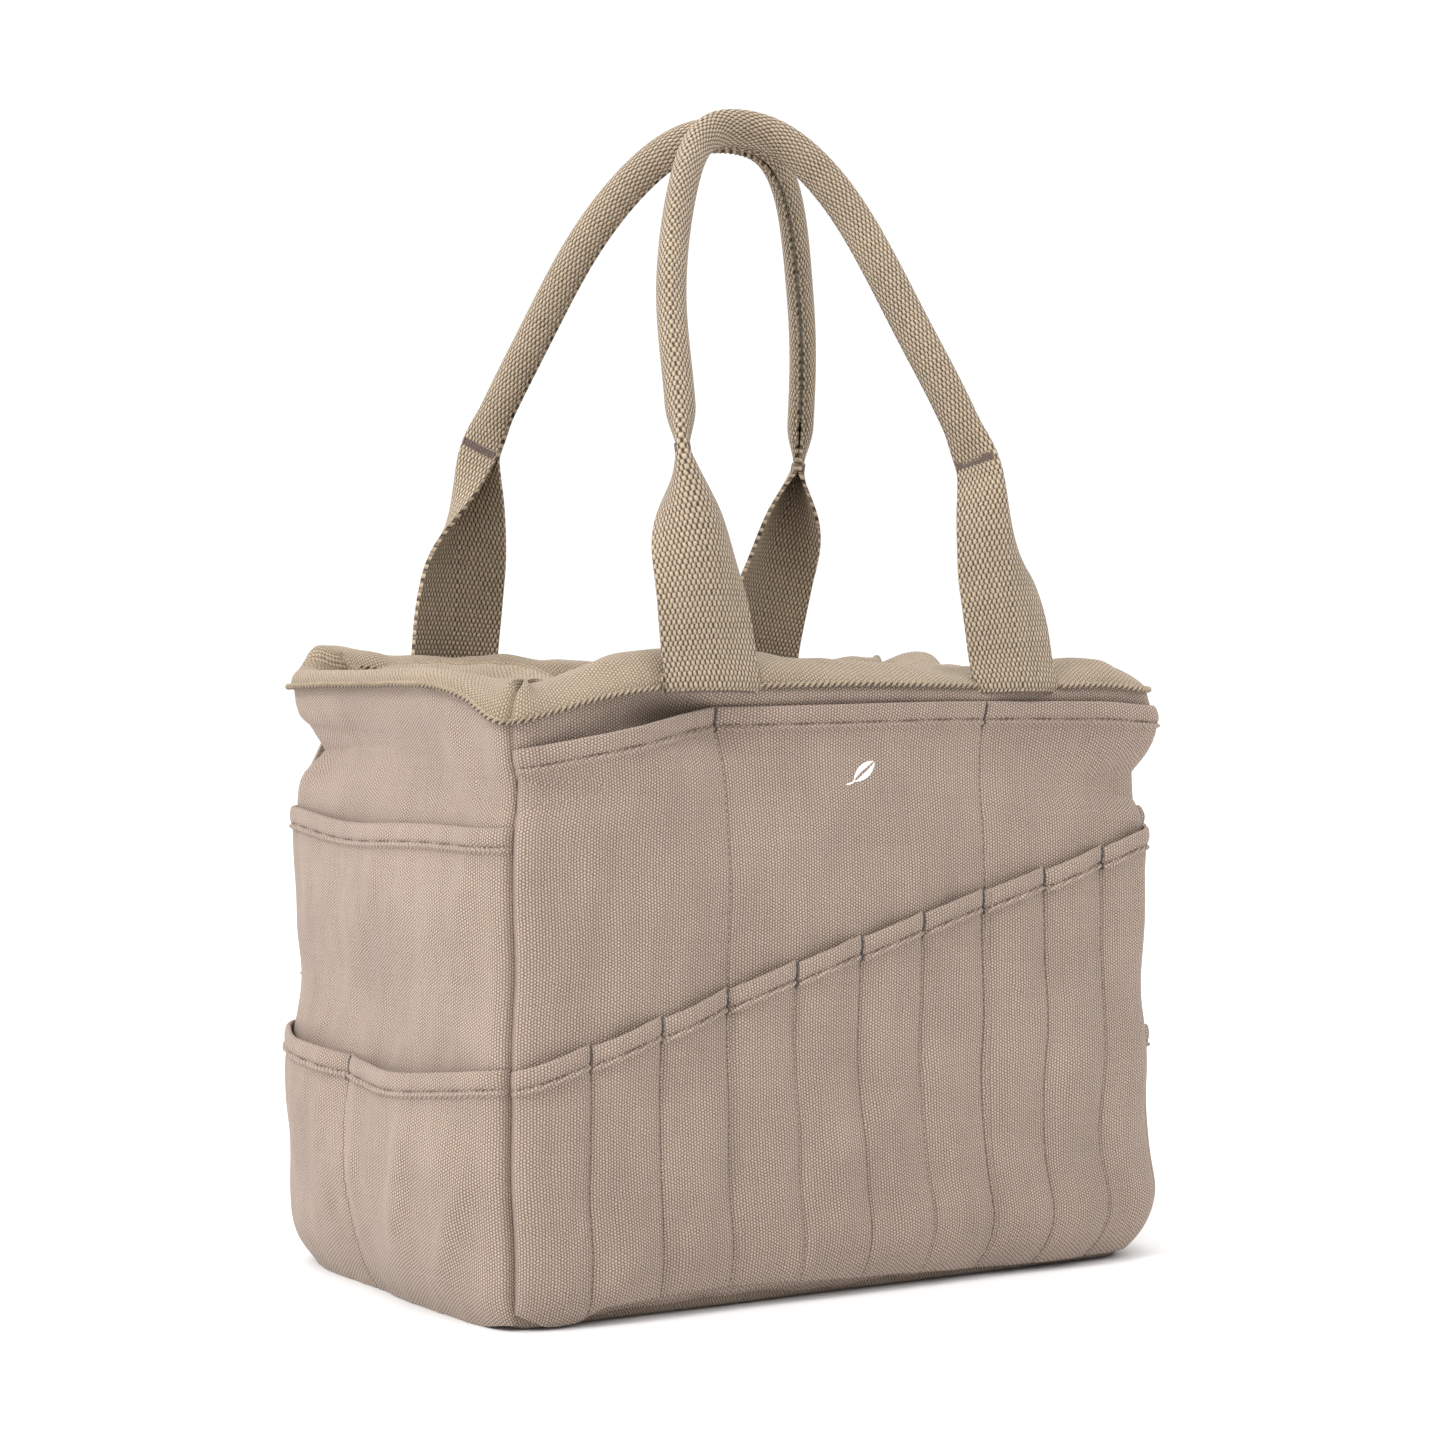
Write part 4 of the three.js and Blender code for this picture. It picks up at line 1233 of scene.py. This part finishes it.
def add_handle_core(side, st, flip):
    """The cord inside the roll."""
    keep = st["past"] > 26
    centre, across, outward = st["point"][keep], st["across"][keep], st["outward"][keep]
    sides = 12
    wide, deep = CORE_RADII
    rings = np.stack([centre + across * wide * math.cos(k) + outward * deep * math.sin(k)
                      for k in TAU * np.arange(sides) / sides], axis=1) * flip
    uv = uv_grid(np.arange(sides + 1) * 2.6, st["at"][keep])
    obj = grid_object(f"{side}_handle_core", rings, uv, "cord", f"{side}_handle", loop_cols=True, capped=True)
    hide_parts(f"{side}_handle_core")


def add_roll_stitches(side, st, outer, flip):
    """Two rows of stitches that close the roll, near the webbing's edges."""
    rolled = np.flatnonzero(st["past"] > 2)
    places = np.arange(st["at"][rolled[0]], st["at"][rolled[-1]], ROLL_STITCH_PITCH)
    core = resample(places, st["at"], st["point"])
    for number, column in ((1, 1), (2, -2)):
        line = resample(places, st["at"], outer[:, column])
        normals = unit(line - core)
        stitch_object(f"{side}_handle_seam_stitches_{number}", (line + normals * 0.1) * flip,
                      np.gradient(line, axis=0) * flip, normals * flip, 2.1, 0.7, body=f"{side}_handle")


def add_pinch_bars(side, st, shares, outer, flip):
    """The bars of thread across the pinch at both ends of the roll."""
    pinched = np.flatnonzero(np.diff(np.sign(st["past"])))
    half = np.linspace(0.05, 0.47, 13)
    columns = np.concatenate([-half[::-1], half])
    for number, index in ((1, pinched[0]), (2, pinched[-1])):
        along_strap = st["along"][index]
        ring, inside = (resample(columns * k, shares, outer[index]) for k in (1.0, 0.9))
        along = np.gradient(ring, axis=0)
        normals = np.cross(along, along_strap)
        normals = unit(normals * np.sign((normals * (ring - st["point"][index])).sum(axis=1, keepdims=True)))
        tilt = (columns * 4.0)[:, None] * along_strap
        centres, directions = [], []
        for row, shift in ((-2.0, 0.0), (-1.0, 0.5), (0.0, 0.2), (1.0, 0.0)):
            centres.append(ring + (inside - ring) * shift * 0.1 + along_strap * row + tilt)
            directions.append(along + along_strap * 0.4 * math.copysign(1, row + 0.3))
        centres, directions = np.concatenate(centres), np.concatenate(directions)
        normals = np.tile(normals, (4, 1))
        centres = (centres + normals * 0.1) * flip
        obj = stitch_object(f"{side}_handle_tack_{number}", centres, directions * flip, normals * flip,
                            length=2.2, width=1.15, body=f"{side}_handle")
        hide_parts(f"{side}_handle_tack_{number}")


# ---- stage ----
def add_world():
    """Soft surroundings: bright overhead, behind and to the left, darker towards the front and right."""
    world = bpy.data.worlds.new("studio")
    bpy.context.scene.world = world
    world.use_nodes = True
    n = Nodes(world.node_tree)
    towards = n.node("ShaderNodeTexCoord").outputs["Generated"]
    side = n.node("ShaderNodeVectorMath", operation="DOT_PRODUCT")
    n.put(towards, side.inputs[0])
    n.put((-0.31, 0.95, 0), side.inputs[1])
    level = n.remap(side.outputs["Value"], -0.9, 0.4, SKY_FRONT, SKY_BACK, steps="LINEAR")
    overhead = n.remap(n.split(towards)[2], 0.2, 1.0, 0.0, SKY_TOP - SKY_BACK, steps="LINEAR")
    background = world.node_tree.nodes["Background"].inputs
    n.put((1, 1, 1, 1), background["Color"])
    n.put(n.math("ADD", level, overhead), background["Strength"])


def add_stage():
    corners = [(x * FLOOR_HALF, y * FLOOR_HALF, 0) for x, y in ((-1, -1), (1, -1), (1, 1), (-1, 1))]
    mesh = bpy.data.meshes.new("floor")
    mesh.from_pydata(corners, [], [(0, 1, 2, 3)])
    floor = bpy.data.objects.new("floor", mesh)
    bpy.context.scene.collection.objects.link(floor)
    paint = bpy.data.materials.new("floor_paint")
    paint.use_nodes = True
    shader = paint.node_tree.nodes["Principled BSDF"]
    shader.inputs["Base Color"].default_value = (0.82, 0.82, 0.82, 1)
    shader.inputs["Roughness"].default_value = 0.9
    shader.inputs["Specular IOR Level"].default_value = 0.1
    mesh.materials.append(paint)


def add_light(name, place, target, size, power):
    data = bpy.data.lights.new(name, "AREA")
    data.shape = "DISK"
    data.size = size
    data.energy = power
    light = bpy.data.objects.new(name, data)
    light.location = place
    direction = Vector(target) - Vector(place)
    light.rotation_euler = direction.to_track_quat("-Z", "Y").to_euler()
    bpy.context.scene.collection.objects.link(light)


def add_lights_and_camera():
    add_world()
    middle = (0, 0, 0.2)
    add_light("key", (-2.35, -0.6, 2.4), middle, 0.8, 45)
    add_light("fill", (2.2, -2.2, 2.2), middle, 1.2, 8)
    camera = bpy.data.objects.new("camera", bpy.data.cameras.new("camera"))
    camera.location = CAMERA_PLACE
    camera.data.sensor_width = SENSOR
    camera.data.lens = LENS
    level = math.cos(CAMERA_PITCH)
    look = Vector((math.sin(CAMERA_YAW) * level, math.cos(CAMERA_YAW) * level, math.sin(CAMERA_PITCH)))
    camera.rotation_euler = look.to_track_quat("-Z", "Y").to_euler()
    bpy.context.scene.collection.objects.link(camera)
    bpy.context.scene.camera = camera
    bpy.context.scene.view_settings.view_transform = "Standard"


def main():
    add_lights_and_camera()
    add_stage()
    for side, name in PANEL_NAMES.items():
        add_panel(side, name)
    for pocket in POCKETS:
        add_pocket(pocket)
    add_seams()
    add_leaf()
    add_base()
    add_floor()
    add_tapes()
    add_collar()
    add_handle("front")
    add_handle("back")


main()
